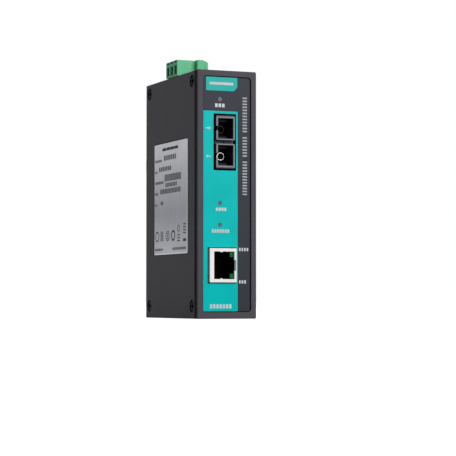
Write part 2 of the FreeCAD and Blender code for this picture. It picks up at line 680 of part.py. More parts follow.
def jack_light(low):
    """A green light pipe in a corner of the jack, from near its face to the cavity's back wall."""
    return box(CAVITY_RIGHT - JACK_LIGHT_HEIGHT, CAVITY_RIGHT, JACK_FRONT + JACK_LIGHT_RECESS, CAVITY_REAR,
               low, low + JACK_LIGHT_WIDTH)


# ---- fibre transceiver ----
FIBRE_LEFT = FIBRE_CENTRE_X - FIBRE_HEIGHT / 2
FIBRE_RIGHT = FIBRE_CENTRE_X + FIBRE_HEIGHT / 2
FIBRE_FRONT = FRONT - FIBRE_PROUD
FIBRE_FACE = FIBRE_FRONT + FIBRE_COLLAR
FIBRE_REAR = FIBRE_FACE + FIBRE_LENGTH
FIBRE_BOTTOM = FIBRE_CENTRE_Z - FIBRE_WIDTH / 2
FIBRE_TOP = FIBRE_CENTRE_Z + FIBRE_WIDTH / 2
PORT_BACK = FIBRE_FRONT + PORT_DEPTH
RX_Z = FIBRE_CENTRE_Z + PORT_PITCH / 2
TX_Z = FIBRE_CENTRE_Z - PORT_PITCH / 2
FIBRE_PIN_Y = FIBRE_REAR - FIBRE_PIN_SETBACK
FIBRE_POST_Z = (FIBRE_BOTTOM + FIBRE_POST_INSET, FIBRE_TOP - FIBRE_POST_INSET)


def port_cavity(z):
    """One port's plug space with the key slot through its left wall."""
    cavity = box(FIBRE_CENTRE_X - PORT_WIDTH / 2, FIBRE_CENTRE_X + PORT_WIDTH / 2, FIBRE_FRONT - 1, PORT_BACK,
                 z - PORT_HEIGHT / 2, z + PORT_HEIGHT / 2)
    key = box(FIBRE_LEFT - 1, FIBRE_CENTRE_X, FIBRE_FRONT - 1, FIBRE_FRONT + KEY_DEPTH,
              z - KEY_WIDTH / 2, z + KEY_WIDTH / 2)
    return [cavity, key]


def transceiver_body():
    """Moulded body with two keyed collars, board posts, standing feet and a shallow centre slot."""
    body = box(FIBRE_LEFT, FIBRE_RIGHT, FIBRE_FACE, FIBRE_REAR, FIBRE_BOTTOM, FIBRE_TOP)
    body = body.makeFillet(FIBRE_ROUND, edges_along(body, AXIS_X))
    middle = FIBRE_CENTRE_Z
    collars = [box(FIBRE_LEFT, FIBRE_RIGHT, FIBRE_FRONT, FIBRE_FACE + 1, middle + COLLAR_BAND / 2, FIBRE_TOP),
               box(FIBRE_LEFT, FIBRE_RIGHT, FIBRE_FRONT, FIBRE_FACE + 1, FIBRE_BOTTOM, middle - COLLAR_BAND / 2)]
    collars = [collar.makeFillet(COLLAR_ROUND, edges_along(collar, AXIS_Y)) for collar in collars]
    root = FIBRE_RIGHT - FIBRE_ROUND
    depth, height = FIBRE_FOOT
    feet = [box(root, BOARD_FACE, y, y + depth, z, z + height)
            for y in (BOARD_FRONT_EDGE + FIBRE_FOOT_INSET, FIBRE_REAR - depth - FIBRE_ROUND)
            for z in (FIBRE_BOTTOM, FIBRE_TOP - height)]
    posts = [rod(FIBRE_POST_RADIUS, V(root, FIBRE_POST_Y, z), V(BOARD_BACK + PIN_TAIL, FIBRE_POST_Y, z))
             for z in FIBRE_POST_Z]
    seam_depth, seam_width = LID_LINE
    seam = PORT_BACK + LID_LINE_SETBACK
    lid_line = box(FIBRE_LEFT - 1, FIBRE_LEFT + seam_depth, seam, seam + seam_width, FIBRE_BOTTOM - 1, FIBRE_TOP + 1)
    slot_half = COLLAR_BAND_SLOT / 2
    slot = box(FIBRE_CENTRE_X - slot_half, FIBRE_CENTRE_X + slot_half, FIBRE_FACE - 1, FIBRE_FACE + COLLAR_BAND_SLOT,
               middle - COLLAR_BAND / 2, middle + COLLAR_BAND / 2)
    cuts = port_cavity(RX_Z) + port_cavity(TX_Z) + [slot, lid_line]
    return join([body] + collars + feet + posts).cut(cuts)


def fibre_barrel(z):
    """Sleeve that takes a 2.5 mm ferrule, on a flange at the cavity's back wall."""
    length = PORT_BACK - (FIBRE_FRONT + BARREL_SETBACK)
    lead = BARREL_LEAD
    profile = [(BARREL_BORE, length - BARREL_BORE_DEPTH), (BARREL_BORE, length - lead), (BARREL_BORE + lead, length),
               (BARREL_RADIUS - lead / 2, length), (BARREL_RADIUS, length - lead / 2), (BARREL_RADIUS, HOOK_BASE),
               (BARREL_FLANGE_RADIUS, HOOK_BASE), (BARREL_FLANGE_RADIUS, 0), (0, 0),
               (0, length - BARREL_BORE_DEPTH)]
    return turned(profile, V(FIBRE_CENTRE_X, PORT_BACK, z), -AXIS_Y)


def latch_hooks(z):
    """Moulded base plate with two spring arms that grip a plug's shoulders."""
    half_x = PORT_WIDTH / 2
    half_z = PORT_HEIGHT / 2
    plate = box(FIBRE_CENTRE_X - half_x, FIBRE_CENTRE_X + half_x, PORT_BACK - HOOK_BASE, PORT_BACK,
                z - half_z, z + half_z)
    hole = rod(BARREL_FLANGE_RADIUS, V(FIBRE_CENTRE_X, PORT_BACK - HOOK_BASE - 1, z),
               V(FIBRE_CENTRE_X, PORT_BACK + 1, z))
    tip = FIBRE_FRONT + HOOK_SETBACK
    arms = []
    for side in (-1, 1):
        wall = z + side * (half_z - HOOK_WALL_GAP)
        inner = wall - side * HOOK_ARM
        left = FIBRE_CENTRE_X - HOOK_WIDTH / 2
        outline = [V(left, PORT_BACK - HOOK_BASE / 2, wall), V(left, tip, wall), V(left, tip, inner),
                   V(left, tip + HOOK_TIP, inner - side * HOOK_TIP),
                   V(left, tip + HOOK_TIP_LENGTH, inner - side * HOOK_TIP),
                   V(left, tip + HOOK_TIP_LENGTH, inner), V(left, PORT_BACK - HOOK_BASE / 2, inner)]
        arms.append(prism(outline, V(HOOK_WIDTH, 0, 0)))
    return join([plate.cut(hole)] + arms)


def fibre_pin_places():
    """Heights of the transceiver's row of pins."""
    return [FIBRE_CENTRE_Z + (i - (FIBRE_PIN_COUNT - 1) / 2) * FIBRE_PIN_PITCH for i in range(FIBRE_PIN_COUNT)]


def transceiver_pins():
    """The row of solder pins through the main board."""
    half = FIBRE_PIN / 2
    return group([box(FIBRE_RIGHT, BOARD_BACK + PIN_TAIL, FIBRE_PIN_Y - half, FIBRE_PIN_Y + half, z - half, z + half)
                  for z in fibre_pin_places()])


# ---- indicators ----
PIPE_REAR = INNER_FRONT + PIPE_FLANGE


def light_pipe(z):
    """Clear pin from the overlay's face to a flange behind the front wall."""
    face = FRONT + OVERLAY_RECESS - OVERLAY_THICKNESS
    pin = rod(PIPE_RADIUS, V(INDICATOR_X, face, z), V(INDICATOR_X, PIPE_REAR, z))
    flange = rod(PIPE_FLANGE_RADIUS, V(INDICATOR_X, INNER_FRONT, z), V(INDICATOR_X, PIPE_REAR, z))
    return join([pin, flange])


def indicator_led(z):
    """A 3 mm lamp lying behind its light pipe, its two leads bent over to the main board."""
    back = PIPE_REAR + LED_GAP + LED_LENGTH
    shoulder = LED_RADIUS * math.cos(math.pi / 4)
    lamp = turned([(0, 0), (LED_RIM_RADIUS, 0), (LED_RIM_RADIUS, LED_RIM), (LED_RADIUS, LED_RIM),
                   (LED_RADIUS, LED_LENGTH - LED_RADIUS), (shoulder, LED_LENGTH - LED_RADIUS + shoulder),
                   (0, LED_LENGTH)], V(INDICATOR_X, back, z), -AXIS_Y)
    return join([lamp] + [led_lead(back, z, side) for side in (-1, 1)])


def led_lead(back, z, side):
    """One of a lamp's leads: out of its back, then across to the main board."""
    left, right = INDICATOR_X - LEAD_WIDTH / 2, INDICATOR_X + LEAD_WIDTH / 2
    low = z + side * LEAD_SPACING - LEAD_WIDTH / 2
    bend = back + LED_LEAD_BEND + side * LEAD_WIDTH
    return prism([V(left, back - LEAD_ROOT, low), V(right, back - LEAD_ROOT, low), V(right, bend - LEAD_WIDTH, low),
                  V(BOARD_FACE, bend - LEAD_WIDTH, low), V(BOARD_FACE, bend, low), V(left, bend, low)],
                 V(0, 0, LEAD_WIDTH))


# ---- boards ----
def main_board():
    """Upright board that carries both ports, held on four posts."""
    board = box(BOARD_FACE, BOARD_BACK, BOARD_FRONT_EDGE, BOARD_REAR_EDGE, BOARD_BOTTOM, BOARD_TOP)
    x0, x1 = BOARD_FACE - 1, BOARD_BACK + 1
    holes = [rod(SCREW_HOLE_RADIUS, V(x0, y, z), V(x1, y, z)) for y, z in BOARD_SCREWS]
    half = FIBRE_PIN / 2 + PIN_HOLE_GAP
    holes += [box(x0, x1, FIBRE_PIN_Y - half, FIBRE_PIN_Y + half, z - half, z + half) for z in fibre_pin_places()]
    holes += [rod(FIBRE_POST_HOLE, V(x0, FIBRE_POST_Y, z), V(x1, FIBRE_POST_Y, z)) for z in FIBRE_POST_Z]
    return board.cut(holes)


def board_screws():
    """Four screws through the main board into its posts."""
    return group([cross_screw(V(BOARD_FACE, y, z), -AXIS_X, SCREW_HEAD_RADIUS, BOARD_SCREW_HEAD,
                              SCREW_RADIUS, BOARD_SCREW_LENGTH) for y, z in BOARD_SCREWS])


def power_board():
    """Level board under the roof that carries the terminal header."""
    half = POWER_BOARD_LENGTH / 2
    board = box(POWER_BOARD_LEFT, POWER_BOARD_RIGHT, -half, half, POWER_BOARD_BOTTOM, POWER_BOARD_TOP)
    reach = HEADER_PIN / 2 + PIN_HOLE_GAP
    holes = [box(HEADER_PIN_X - reach, HEADER_PIN_X + reach, y - reach, y + reach,
                 POWER_BOARD_BOTTOM - 1, POWER_BOARD_TOP + 1) for y in POLES]
    return board.cut(holes)


def board_link_pins():
    """Bent pins that tie the power board to the main board."""
    half = LINK_PIN_WIDTH / 2
    low = POWER_BOARD_BOTTOM - LINK_PIN_DROP
    pins = []
    for i in range(LINK_PIN_COUNT):
        y = LINK_PIN_Y + (i - (LINK_PIN_COUNT - 1) / 2) * LINK_PIN_PITCH - half
        pins.append(prism([V(LINK_PIN_X - half, y, POWER_BOARD_BOTTOM), V(LINK_PIN_X - half, y, low - half),
                           V(BOARD_FACE, y, low - half), V(BOARD_FACE, y, low + half),
                           V(LINK_PIN_X + half, y, low + half), V(LINK_PIN_X + half, y, POWER_BOARD_BOTTOM)],
                          V(0, LINK_PIN_WIDTH, 0)))
    return group(pins)


# ---- parts on the boards ----
CHIP_CENTRE = (16.0, 56.0)   # Y and Z on the main board
CHIP_SIZE = 14.0
CHIP_HEIGHT = 1.4
CHIP_STANDOFF = 0.1
CHIP_LEADS = 10              # leads on each side
CHIP_LEAD_PITCH = 1.25
CHIP_LEAD_REACH = 1.0
CHIP_LEAD_WIDTH = 0.4
CRYSTAL_CENTRE = (16.0, 41.0)
CRYSTAL_LENGTH = 11.4
CRYSTAL_WIDTH = 4.6
CRYSTAL_HEIGHT = 3.4
TRANSFORMER_CENTRE = (2.0, 25.0)
TRANSFORMER_SIZE = (9.0, 13.0)
TRANSFORMER_HEIGHT = 5.6
TRANSFORMER_LEADS = 8
REGULATOR_CENTRE = (22.0, 74.0)
REGULATOR_SIZE = (3.9, 4.9)
REGULATOR_HEIGHT = 1.5
REGULATOR_LEADS = 4
GULL_LEAD = 0.25             # thickness of a formed lead
CAN_CENTRE = (22.0, 88.0)
CAN_RADIUS = 4.0
CAN_HEIGHT = 6.5
CAN_GROOVE = 0.3
TALL_CAN_PLACE = (-6.0, -11.0)   # X and Y under the power board
TALL_CAN_RADIUS = 4.0
TALL_CAN_HEIGHT = 9.0
INDUCTOR_PLACE = (-6.2, 3.0)
INDUCTOR_RADIUS = 4.6
INDUCTOR_HEIGHT = 4.5
INDUCTOR_FLANGE = 0.9
INDUCTOR_CORE_RADIUS = 3.7
FUSE_PLACE = (-6.0, 13.0)
FUSE_SIZE = (7.4, 4.0, 3.2)
FUSE_CAP = 1.4
FUSE_STEP = 0.2              # how far the caps stand out round the body
CRYSTAL_RIM = 0.3
CRYSTAL_FLANGE = 0.5
CAN_CRIMP = 0.2              # share of a can's height below its crimp
PACKAGE_ROUND = 0.2
SMALL_CHIP_SIZE = (2.0, 1.25)
SMALL_CHIP_HEIGHT = 0.6
SMALL_CHIP_ROWS = ((-20.0, 57.0), (4.0, 48.0), (27.0, 60.0))   # Y and Z of each row's foot
SMALL_CHIP_COUNT = 4
SMALL_CHIP_PITCH = 2.6


def gull_lead(foot, x, run, side, width_axis):
    """One formed lead: out from a package's side, down to the board and out again."""
    t = GULL_LEAD
    reach = CHIP_LEAD_REACH
    half = CHIP_LEAD_WIDTH / 2
    base = foot - width_axis * half
    points = [(0, x), (0, x - t), (reach / 2 + t / 2, x - t), (reach / 2 + t / 2, BOARD_FACE - t),
              (reach, BOARD_FACE - t), (reach, BOARD_FACE), (reach / 2 - t / 2, BOARD_FACE), (reach / 2 - t / 2, x)]
    outline = [base + run * (side * out) + AXIS_X * px for out, px in points]
    return prism(outline, width_axis * CHIP_LEAD_WIDTH)


def package(centre, size, height, standoff):
    """A moulded package lying on the main board's left face."""
    y, z = centre
    half_y, half_z = size[0] / 2, size[1] / 2
    right = BOARD_FACE - standoff
    body = box(right - height, right, y - half_y, y + half_y, z - half_z, z + half_z)
    return body.makeFillet(min(PACKAGE_ROUND, height / 4), edges_along(body, AXIS_X))


def lead_row(centre, size, height, standoff, count, pitch, across):
    """Leads down both sides of a package; across is the axis that they point along."""
    along = AXIS_Z if across == AXIS_Y else AXIS_Y
    half = (size[0] if across == AXIS_Y else size[1]) / 2
    x = BOARD_FACE - standoff - height / 2 + GULL_LEAD / 2
    middle = V(0, centre[0], centre[1])
    leads = []
    for side in (-1, 1):
        for i in range(count):
            foot = middle + across * (side * half) + along * ((i - (count - 1) / 2) * pitch)
            leads.append(gull_lead(foot, x, across, side, along))
    return leads


def controller_chip():
    """Square flat package with leads on all four sides."""
    size = (CHIP_SIZE, CHIP_SIZE)
    solids = [package(CHIP_CENTRE, size, CHIP_HEIGHT, CHIP_STANDOFF)]
    for across in (AXIS_Y, AXIS_Z):
        solids += lead_row(CHIP_CENTRE, size, CHIP_HEIGHT, CHIP_STANDOFF, CHIP_LEADS, CHIP_LEAD_PITCH, across)
    return join(solids)


def line_transformer():
    """Black block with a row of leads down each long side."""
    solids = [package(TRANSFORMER_CENTRE, TRANSFORMER_SIZE, TRANSFORMER_HEIGHT, CHIP_STANDOFF)]
    solids += lead_row(TRANSFORMER_CENTRE, TRANSFORMER_SIZE, TRANSFORMER_HEIGHT, CHIP_STANDOFF,
                       TRANSFORMER_LEADS, LEAD_SPACING, AXIS_Y)
    return join(solids)


def regulator_chip():
    """Small eight-lead package."""
    solids = [package(REGULATOR_CENTRE, REGULATOR_SIZE, REGULATOR_HEIGHT, CHIP_STANDOFF)]
    solids += lead_row(REGULATOR_CENTRE, REGULATOR_SIZE, REGULATOR_HEIGHT, CHIP_STANDOFF,
                       REGULATOR_LEADS, LEAD_SPACING, AXIS_Y)
    return join(solids)


def crystal():
    """Round-ended metal can on a thin base flange."""
    y, z = CRYSTAL_CENTRE
    half_y, half_z = CRYSTAL_LENGTH / 2, CRYSTAL_WIDTH / 2
    left = BOARD_FACE - CRYSTAL_HEIGHT
    end = 0.98 * half_z
    rim = CRYSTAL_RIM
    can = round_block(left, BOARD_FACE, y - half_y, y + half_y, z - half_z, z + half_z, end, AXIS_X)
    flange = round_block(BOARD_FACE - CRYSTAL_FLANGE, BOARD_FACE, y - half_y - rim, y + half_y + rim,
                         z - half_z - rim, z + half_z + rim, end, AXIS_X)
    return join([can, flange])


def capacitor_can(radius, height, seat, axis):
    """Aluminium can standing on a board, with a crimp near its foot and a rounded end."""
    crimp = height * CAN_CRIMP
    g = CAN_GROOVE
    profile = [(0, 0), (radius, 0), (radius, crimp - g), (radius - g, crimp), (radius, crimp + g),
               (radius, height - g), (radius - g, height), (0, height)]
    return turned(profile, seat, axis)


def input_capacitor():
    """Tall can hanging under the power board."""
    x, y = TALL_CAN_PLACE
    return capacitor_can(TALL_CAN_RADIUS, TALL_CAN_HEIGHT, V(x, y, POWER_BOARD_BOTTOM), -AXIS_Z)


def output_capacitor():
    """Shorter can on the main board."""
    y, z = CAN_CENTRE
    return capacitor_can(CAN_RADIUS, CAN_HEIGHT, V(BOARD_FACE, y, z), -AXIS_X)


def power_inductor():
    """Drum core under the power board."""
    x, y = INDUCTOR_PLACE
    f = INDUCTOR_FLANGE
    profile = [(0, 0), (INDUCTOR_RADIUS, 0), (INDUCTOR_RADIUS, f), (INDUCTOR_CORE_RADIUS, f),
               (INDUCTOR_CORE_RADIUS, INDUCTOR_HEIGHT - f), (INDUCTOR_RADIUS, INDUCTOR_HEIGHT - f),
               (INDUCTOR_RADIUS, INDUCTOR_HEIGHT), (0, INDUCTOR_HEIGHT)]
    return turned(profile, V(x, y, POWER_BOARD_BOTTOM), -AXIS_Z)


def input_fuse():
    """Surface fuse under the power board, with a cap at each end."""
    x, y = FUSE_PLACE
    length, width, height = FUSE_SIZE
    top = POWER_BOARD_BOTTOM
    half = width / 2 - FUSE_STEP
    body = box(x - length / 2 + FUSE_STEP, x + length / 2 - FUSE_STEP, y - half, y + half,
               top - height + FUSE_STEP, top - FUSE_STEP)
    caps = [box(x0, x0 + FUSE_CAP, y - width / 2, y + width / 2, top - height, top)
            for x0 in (x - length / 2, x + length / 2 - FUSE_CAP)]
    return join([body] + caps)


def chip_parts():
    """Rows of small two-ended parts on the main board."""
    parts = []
    for y, z in SMALL_CHIP_ROWS:
        for i in range(SMALL_CHIP_COUNT):
            low = z + i * SMALL_CHIP_PITCH
            parts.append(box(BOARD_FACE - SMALL_CHIP_HEIGHT, BOARD_FACE, y, y + SMALL_CHIP_SIZE[0],
                             low, low + SMALL_CHIP_SIZE[1]))
    return group(parts)


# ---- terminal header and plug ----
NOSE_TOP = PLUG_TOP - HEADER_WALL - NOSE_CLEARANCE
NOSE_BOTTOM = TOP + HEADER_WALL + NOSE_CLEARANCE
NOSE_HALF = PLUG_HALF - 0.3
CAVITY_BACK = HEADER_RIGHT - HEADER_BACK
NOSE_END = CAVITY_BACK - NOSE_END_GAP
HEADER_PIN_X = HEADER_RIGHT - HEADER_BACK / 2
HEADER_BASE = POWER_BOARD_TOP
CAGE_BOTTOM = PLUG_BOTTOM + CAGE_RISE
POCKET_BOTTOM = CAGE_BOTTOM - CAGE_GAP
POCKET_TOP = CAGE_BOTTOM + CAGE_HEIGHT + CAGE_TRAVEL + CAGE_GAP
HEAD_SEAT = POCKET_TOP + WELL_WEB
POCKET_HALF_X = CAGE_LENGTH / 2 + CAGE_GAP
POCKET_HALF_Y = CAGE_WIDTH / 2 + CAGE_GAP
CAGE_WINDOW_TOP = CAGE_BOTTOM + CAGE_HEIGHT - CAGE_ROOF
BAR_TOP = CAGE_WINDOW_TOP - BAR_GAP
FORK_INNER_LOW = HEADER_PIN_Z - HEADER_PIN / 2 - FORK_GAP
FORK_INNER_HIGH = HEADER_PIN_Z + HEADER_PIN / 2 + FORK_GAP


def header_pin(y):
    """Square pin: level inside the header, then down through the power board."""
    half = HEADER_PIN / 2
    left = CAVITY_BACK - HEADER_PIN_REACH
    tail = POWER_BOARD_BOTTOM - PIN_TAIL
    return prism([V(left, y - half, HEADER_PIN_Z + half), V(left, y - half, HEADER_PIN_Z - half),
                  V(HEADER_PIN_X - half, y - half, HEADER_PIN_Z - half), V(HEADER_PIN_X - half, y - half, tail),
                  V(HEADER_PIN_X + half, y - half, tail), V(HEADER_PIN_X + half, y - half, HEADER_PIN_Z + half)],
                 V(0, HEADER_PIN, 0))


def header_pins():
    """One tinned pin for each pole."""
    return group([header_pin(y) for y in POLES])


def terminal_header():
    """Shrouded header that opens to the left, with a chamfered top right edge."""
    top = PLUG_TOP
    block = prism([V(HEADER_LEFT, -HEADER_HALF, HEADER_BASE), V(HEADER_RIGHT, -HEADER_HALF, HEADER_BASE),
                   V(HEADER_RIGHT, -HEADER_HALF, top - HEADER_CHAMFER_Z),
                   V(HEADER_RIGHT - HEADER_CHAMFER_X, -HEADER_HALF, top), V(HEADER_LEFT, -HEADER_HALF, top)],
                  V(0, 2 * HEADER_HALF, 0))
    half = NOSE_HALF + NOSE_CLEARANCE
    cavity = box(HEADER_LEFT - 1, CAVITY_BACK, -half, half, NOSE_BOTTOM - NOSE_CLEARANCE, NOSE_TOP + NOSE_CLEARANCE)
    return block.cut([cavity] + [header_pin(y) for y in POLES])


def plug_pole_cuts(y):
    """Everything cut for one pole: cage pocket, screw well, wire entry, probe slot and contact channel."""
    pocket = box(CAGE_X - POCKET_HALF_X, CAGE_X + POCKET_HALF_X, y - POCKET_HALF_Y, y + POCKET_HALF_Y,
                 POCKET_BOTTOM, POCKET_TOP)
    well = rod(WELL_RADIUS, V(CAGE_X, y, HEAD_SEAT), V(CAGE_X, y, PLUG_TOP + 1))
    bore = rod(CLAMP_SHANK_RADIUS + CLAMP_CLEARANCE, V(CAGE_X, y, POCKET_TOP - 1), V(CAGE_X, y, PLUG_TOP))
    wire = box(PLUG_LEFT - 1, CAGE_X, y - WIRE_WIDTH / 2, y + WIRE_WIDTH / 2, WIRE_BOTTOM, WIRE_TOP)
    probe = box(PLUG_LEFT - 1, CAGE_X, y - PROBE_WIDTH / 2, y + PROBE_WIDTH / 2, HEAD_SEAT,
                HEAD_SEAT + CLAMP_HEAD_HEIGHT)
    channel = contact_channel(y, CAGE_X, NOSE_END + 1)
    return [pocket, well, bore, wire, probe, channel]


def contact_channel(y, x0, x1):
    """The passage from the cage pocket to the nose's end that holds a contact."""
    half = FORK_WIDTH / 2 + FORK_GAP
    low = FORK_INNER_LOW - FORK_LEAF - FORK_SLOT_GAP
    high = FORK_INNER_HIGH + FORK_LEAF + FORK_SLOT_GAP
    return box(x0, x1, y - half, y + half, low, high)


def terminal_plug():
    """Green plug: clamp body on the left, nose that enters the header on the right."""
    body = box(PLUG_LEFT, PLUG_SHOULDER, -PLUG_HALF, PLUG_HALF, PLUG_BOTTOM, PLUG_TOP)
    body = body.makeFillet(PLUG_ROUND, edges_along(body, AXIS_X))
    nose = box(PLUG_SHOULDER - 1, NOSE_END, -NOSE_HALF, NOSE_HALF, NOSE_BOTTOM, NOSE_TOP)
    cuts = []
    for y in POLES:
        cuts += plug_pole_cuts(y)
    return join([body, nose]).cut(cuts)


def plug_contact(y):
    """Contact for one pole: a bar through the cage, a block, and a two-leaf fork round the header's pin."""
    half = FORK_WIDTH / 2
    bar_left = CAGE_X - CAGE_LENGTH / 2
    block_left = CAGE_X + POCKET_HALF_X
    block_middle = block_left + FORK_BLOCK / 2
    block = contact_channel(y, block_left, block_left + FORK_BLOCK)
    bar = box(bar_left, block_middle, y - half, y + half, BAR_TOP - BAR_THICKNESS, BAR_TOP)
    leaves = [box(block_middle, NOSE_END - FORK_SLOT_GAP, y - half, y + half, z, z + FORK_LEAF)
              for z in (FORK_INNER_LOW - FORK_LEAF, FORK_INNER_HIGH)]
    return join([block, bar] + leaves)


def plug_contacts():
    """One contact for each pole."""
    return group([plug_contact(y) for y in POLES])


def clamp_cage(y):
    """Rising clamp: a closed loop whose thick top is threaded for the screw."""
    half_x, half_y = CAGE_LENGTH / 2, CAGE_WIDTH / 2
    block = box(CAGE_X - half_x, CAGE_X + half_x, y - half_y, y + half_y, CAGE_BOTTOM, CAGE_BOTTOM + CAGE_HEIGHT)
    window = box(CAGE_X - half_x - 1, CAGE_X + half_x + 1, y - half_y + CAGE_SIDE, y + half_y - CAGE_SIDE,
                 CAGE_BOTTOM + CAGE_FLOOR, CAGE_WINDOW_TOP)
    thread = rod(CLAMP_SHANK_RADIUS + CLAMP_CLEARANCE, V(CAGE_X, y, CAGE_BOTTOM + CAGE_FLOOR + 1),
                 V(CAGE_X, y, CAGE_BOTTOM + CAGE_HEIGHT + 1))
    return block.cut([window, thread])


def clamp_screw(y):
    """Slotted screw whose head turns in the plug's well and whose shank lifts the cage."""
    seat = HEAD_SEAT + CLAMP_HEAD_GAP
    top = seat + CLAMP_HEAD_HEIGHT
    head = rod(CLAMP_HEAD_RADIUS, V(CAGE_X, y, seat), V(CAGE_X, y, top))
    shank = rod(CLAMP_SHANK_RADIUS, V(CAGE_X, y, BAR_TOP + 0.1), V(CAGE_X, y, seat + 0.1))
    slot = box(CAGE_X - CLAMP_HEAD_RADIUS - 1, CAGE_X + CLAMP_HEAD_RADIUS + 1,
               y - CLAMP_SLOT_WIDTH / 2, y + CLAMP_SLOT_WIDTH / 2, top - CLAMP_SLOT_DEPTH, top + 1)
    return join([head, shank]).cut(slot)


# ---- rail clip ----
SPRING_AXIS_Y = CLIP_FACE + SPRING_OFFSET
SPRING_SEAT_TOP = SPRING_SEAT_Z + SPRING_SEAT_HEIGHT
LATCH_TOP = RAIL_BOTTOM - RAIL_GAP
LIP_TOP = RAIL_BOTTOM + LATCH_LIP_OVERLAP
POCKET_BACK = SPRING_AXIS_Y - SPRING_RADIUS - SPRING_WIRE - LATCH_GAP


def rail_clip_base():
    """Rear plate with the fixed hook on top, two guides for the latch and the spring's seat."""
    half = CLIP_WIDTH / 2
    plate = box(-half, half, REAR, CLIP_FACE, CLIP_BOTTOM, CLIP_TOP)
    plate = plate.makeFillet(CLIP_ROUND, edges_along(plate, AXIS_Y))
    lip_bottom = RAIL_TOP - HOOK_LIP_OVERLAP
    slope = HOOK_SLOPE
    top = CLIP_TOP - HOOK_TOP_SETBACK
    hook = prism([V(-half, CLIP_FACE - 1, top - 1), V(-half, CLIP_FACE, top),
                  V(-half, CLIP_BACK - slope, top), V(-half, CLIP_BACK, top - slope),
                  V(-half, CLIP_BACK, lip_bottom + slope), V(-half, CLIP_BACK - slope, lip_bottom),
                  V(-half, LIP_FRONT, lip_bottom), V(-half, LIP_FRONT, RAIL_TOP + RAIL_GAP),
                  V(-half, CLIP_FACE - 1, RAIL_TOP + RAIL_GAP)], V(2 * half, 0, 0))
    guides = []
    inner = LATCH_WIDTH / 2 + LATCH_GAP
    back = LATCH_BACK + LATCH_GAP
    for side in (-1, 1):
        x0, x1 = sorted((side * inner, side * (inner + GUIDE_WIDTH)))
        guides.append(box(x0, x1, CLIP_FACE - 1, back + GUIDE_LIP_THICKNESS, CLIP_BOTTOM + 1, GUIDE_TOP))
        x0, x1 = sorted((side * (inner - GUIDE_LIP), side * (inner + 1)))
        guides.append(box(x0, x1, back, back + GUIDE_LIP_THICKNESS, CLIP_BOTTOM + 1, GUIDE_TOP))
    seat_half = SPRING_SEAT_WIDTH / 2
    seat = box(-seat_half, seat_half, CLIP_FACE - 1, LATCH_BACK, SPRING_SEAT_Z, SPRING_SEAT_TOP)
    pocket_half = SPRING_RADIUS + SPRING_WIRE + LATCH_GAP
    pocket = box(-pocket_half, pocket_half, POCKET_BACK, CLIP_FACE + 0.01, SPRING_SEAT_TOP, LATCH_WINDOW_TOP + 1)
    sinks = clip_screw_holes(CLIP_SCREW_HEAD + CLIP_HEAD_GAP, CLIP_FACE - CLIP_SCREW_SINK, CLIP_FACE + 1)
    holes = clip_screw_holes(CLIP_SCREW_RADIUS + CLIP_HOLE_GAP, REAR - 1, CLIP_FACE)
    return join([plate, hook] + guides + [seat]).cut([pocket] + sinks + holes)


def rail_latch():
    """Sliding latch: lip over the rail's lower edge, window for the spring, tab to pull it down."""
    half = LATCH_WIDTH / 2
    slope = HOOK_SLOPE
    body = prism([V(-half, LATCH_FRONT, LATCH_BOTTOM), V(-half, LATCH_BACK + TAB_REACH, LATCH_BOTTOM),
                  V(-half, LATCH_BACK + TAB_REACH, LATCH_BOTTOM + TAB_THICKNESS), V(-half, LATCH_BACK, LATCH_BOTTOM + TAB_HEIGHT),
                  V(-half, LATCH_BACK, LATCH_LIP_ROOT), V(-half, CLIP_BACK, LATCH_LIP_ROOT + LIP_SLOPE),
                  V(-half, CLIP_BACK, LIP_TOP - slope), V(-half, CLIP_BACK - slope, LIP_TOP),
                  V(-half, LIP_FRONT, LIP_TOP), V(-half, LIP_FRONT, LATCH_TOP), V(-half, LATCH_FRONT, LATCH_TOP)],
                 V(2 * half, 0, 0))
    window_half = LATCH_WINDOW_WIDTH / 2
    window = box(-window_half, window_half, LATCH_FRONT - 1, LATCH_BACK + 1,
                 SPRING_SEAT_Z - LATCH_GAP, LATCH_WINDOW_TOP)
    slot_low = LATCH_BOTTOM + TAB_HEIGHT + TAB_SLOT_GAP
    slot = box(-TAB_SLOT_WIDTH / 2, TAB_SLOT_WIDTH / 2, LATCH_FRONT - 1, LATCH_BACK + 1,
               slot_low, slot_low + TAB_SLOT_HEIGHT)
    return body.cut([window, slot])


def latch_spring():
    """Coil spring between the base's seat and the top of the latch's window."""
    low, high = SPRING_SEAT_TOP + SPRING_WIRE, LATCH_WINDOW_TOP - SPRING_WIRE
    closed = 2 * SPRING_WIRE * SPRING_CLOSE
    pitch = (high - low - 2 * closed) / (SPRING_TURNS - 2)
    centres = []
    for step in range(SPRING_TURNS * SPRING_STEPS + 1):
        turns = step / SPRING_STEPS
        rise = closed * min(turns, 1) + pitch * min(max(turns - 1, 0), SPRING_TURNS - 2)
        rise += closed * max(turns - SPRING_TURNS + 1, 0)
        angle = 2 * math.pi * turns
        centres.append(V(SPRING_RADIUS * math.cos(angle), SPRING_AXIS_Y + SPRING_RADIUS * math.sin(angle), low + rise))
    corners = [centres[0] + AXIS_X * (SPRING_WIRE * math.cos(a)) + AXIS_Z * (SPRING_WIRE * math.sin(a))
               for a in [math.pi / 3 * k for k in range(6)]]
    section = Part.makePolygon(corners + corners[:1])
    return Part.makePolygon(centres).makePipeShell([section], True, False, 1)


def clip_screws():
    """Four screws, sunk below the rail's face, that hold the clip to the housing."""
    return group([cross_screw(V(x, CLIP_FACE - CLIP_SCREW_SINK, z), AXIS_Y, CLIP_SCREW_HEAD, CLIP_SCREW_SINK - CLIP_HEAD_GAP,
                              CLIP_SCREW_RADIUS, CLIP_SCREW_LENGTH)
                  for x in (-CLIP_SCREW_X, CLIP_SCREW_X) for z in CLIP_SCREW_Z])


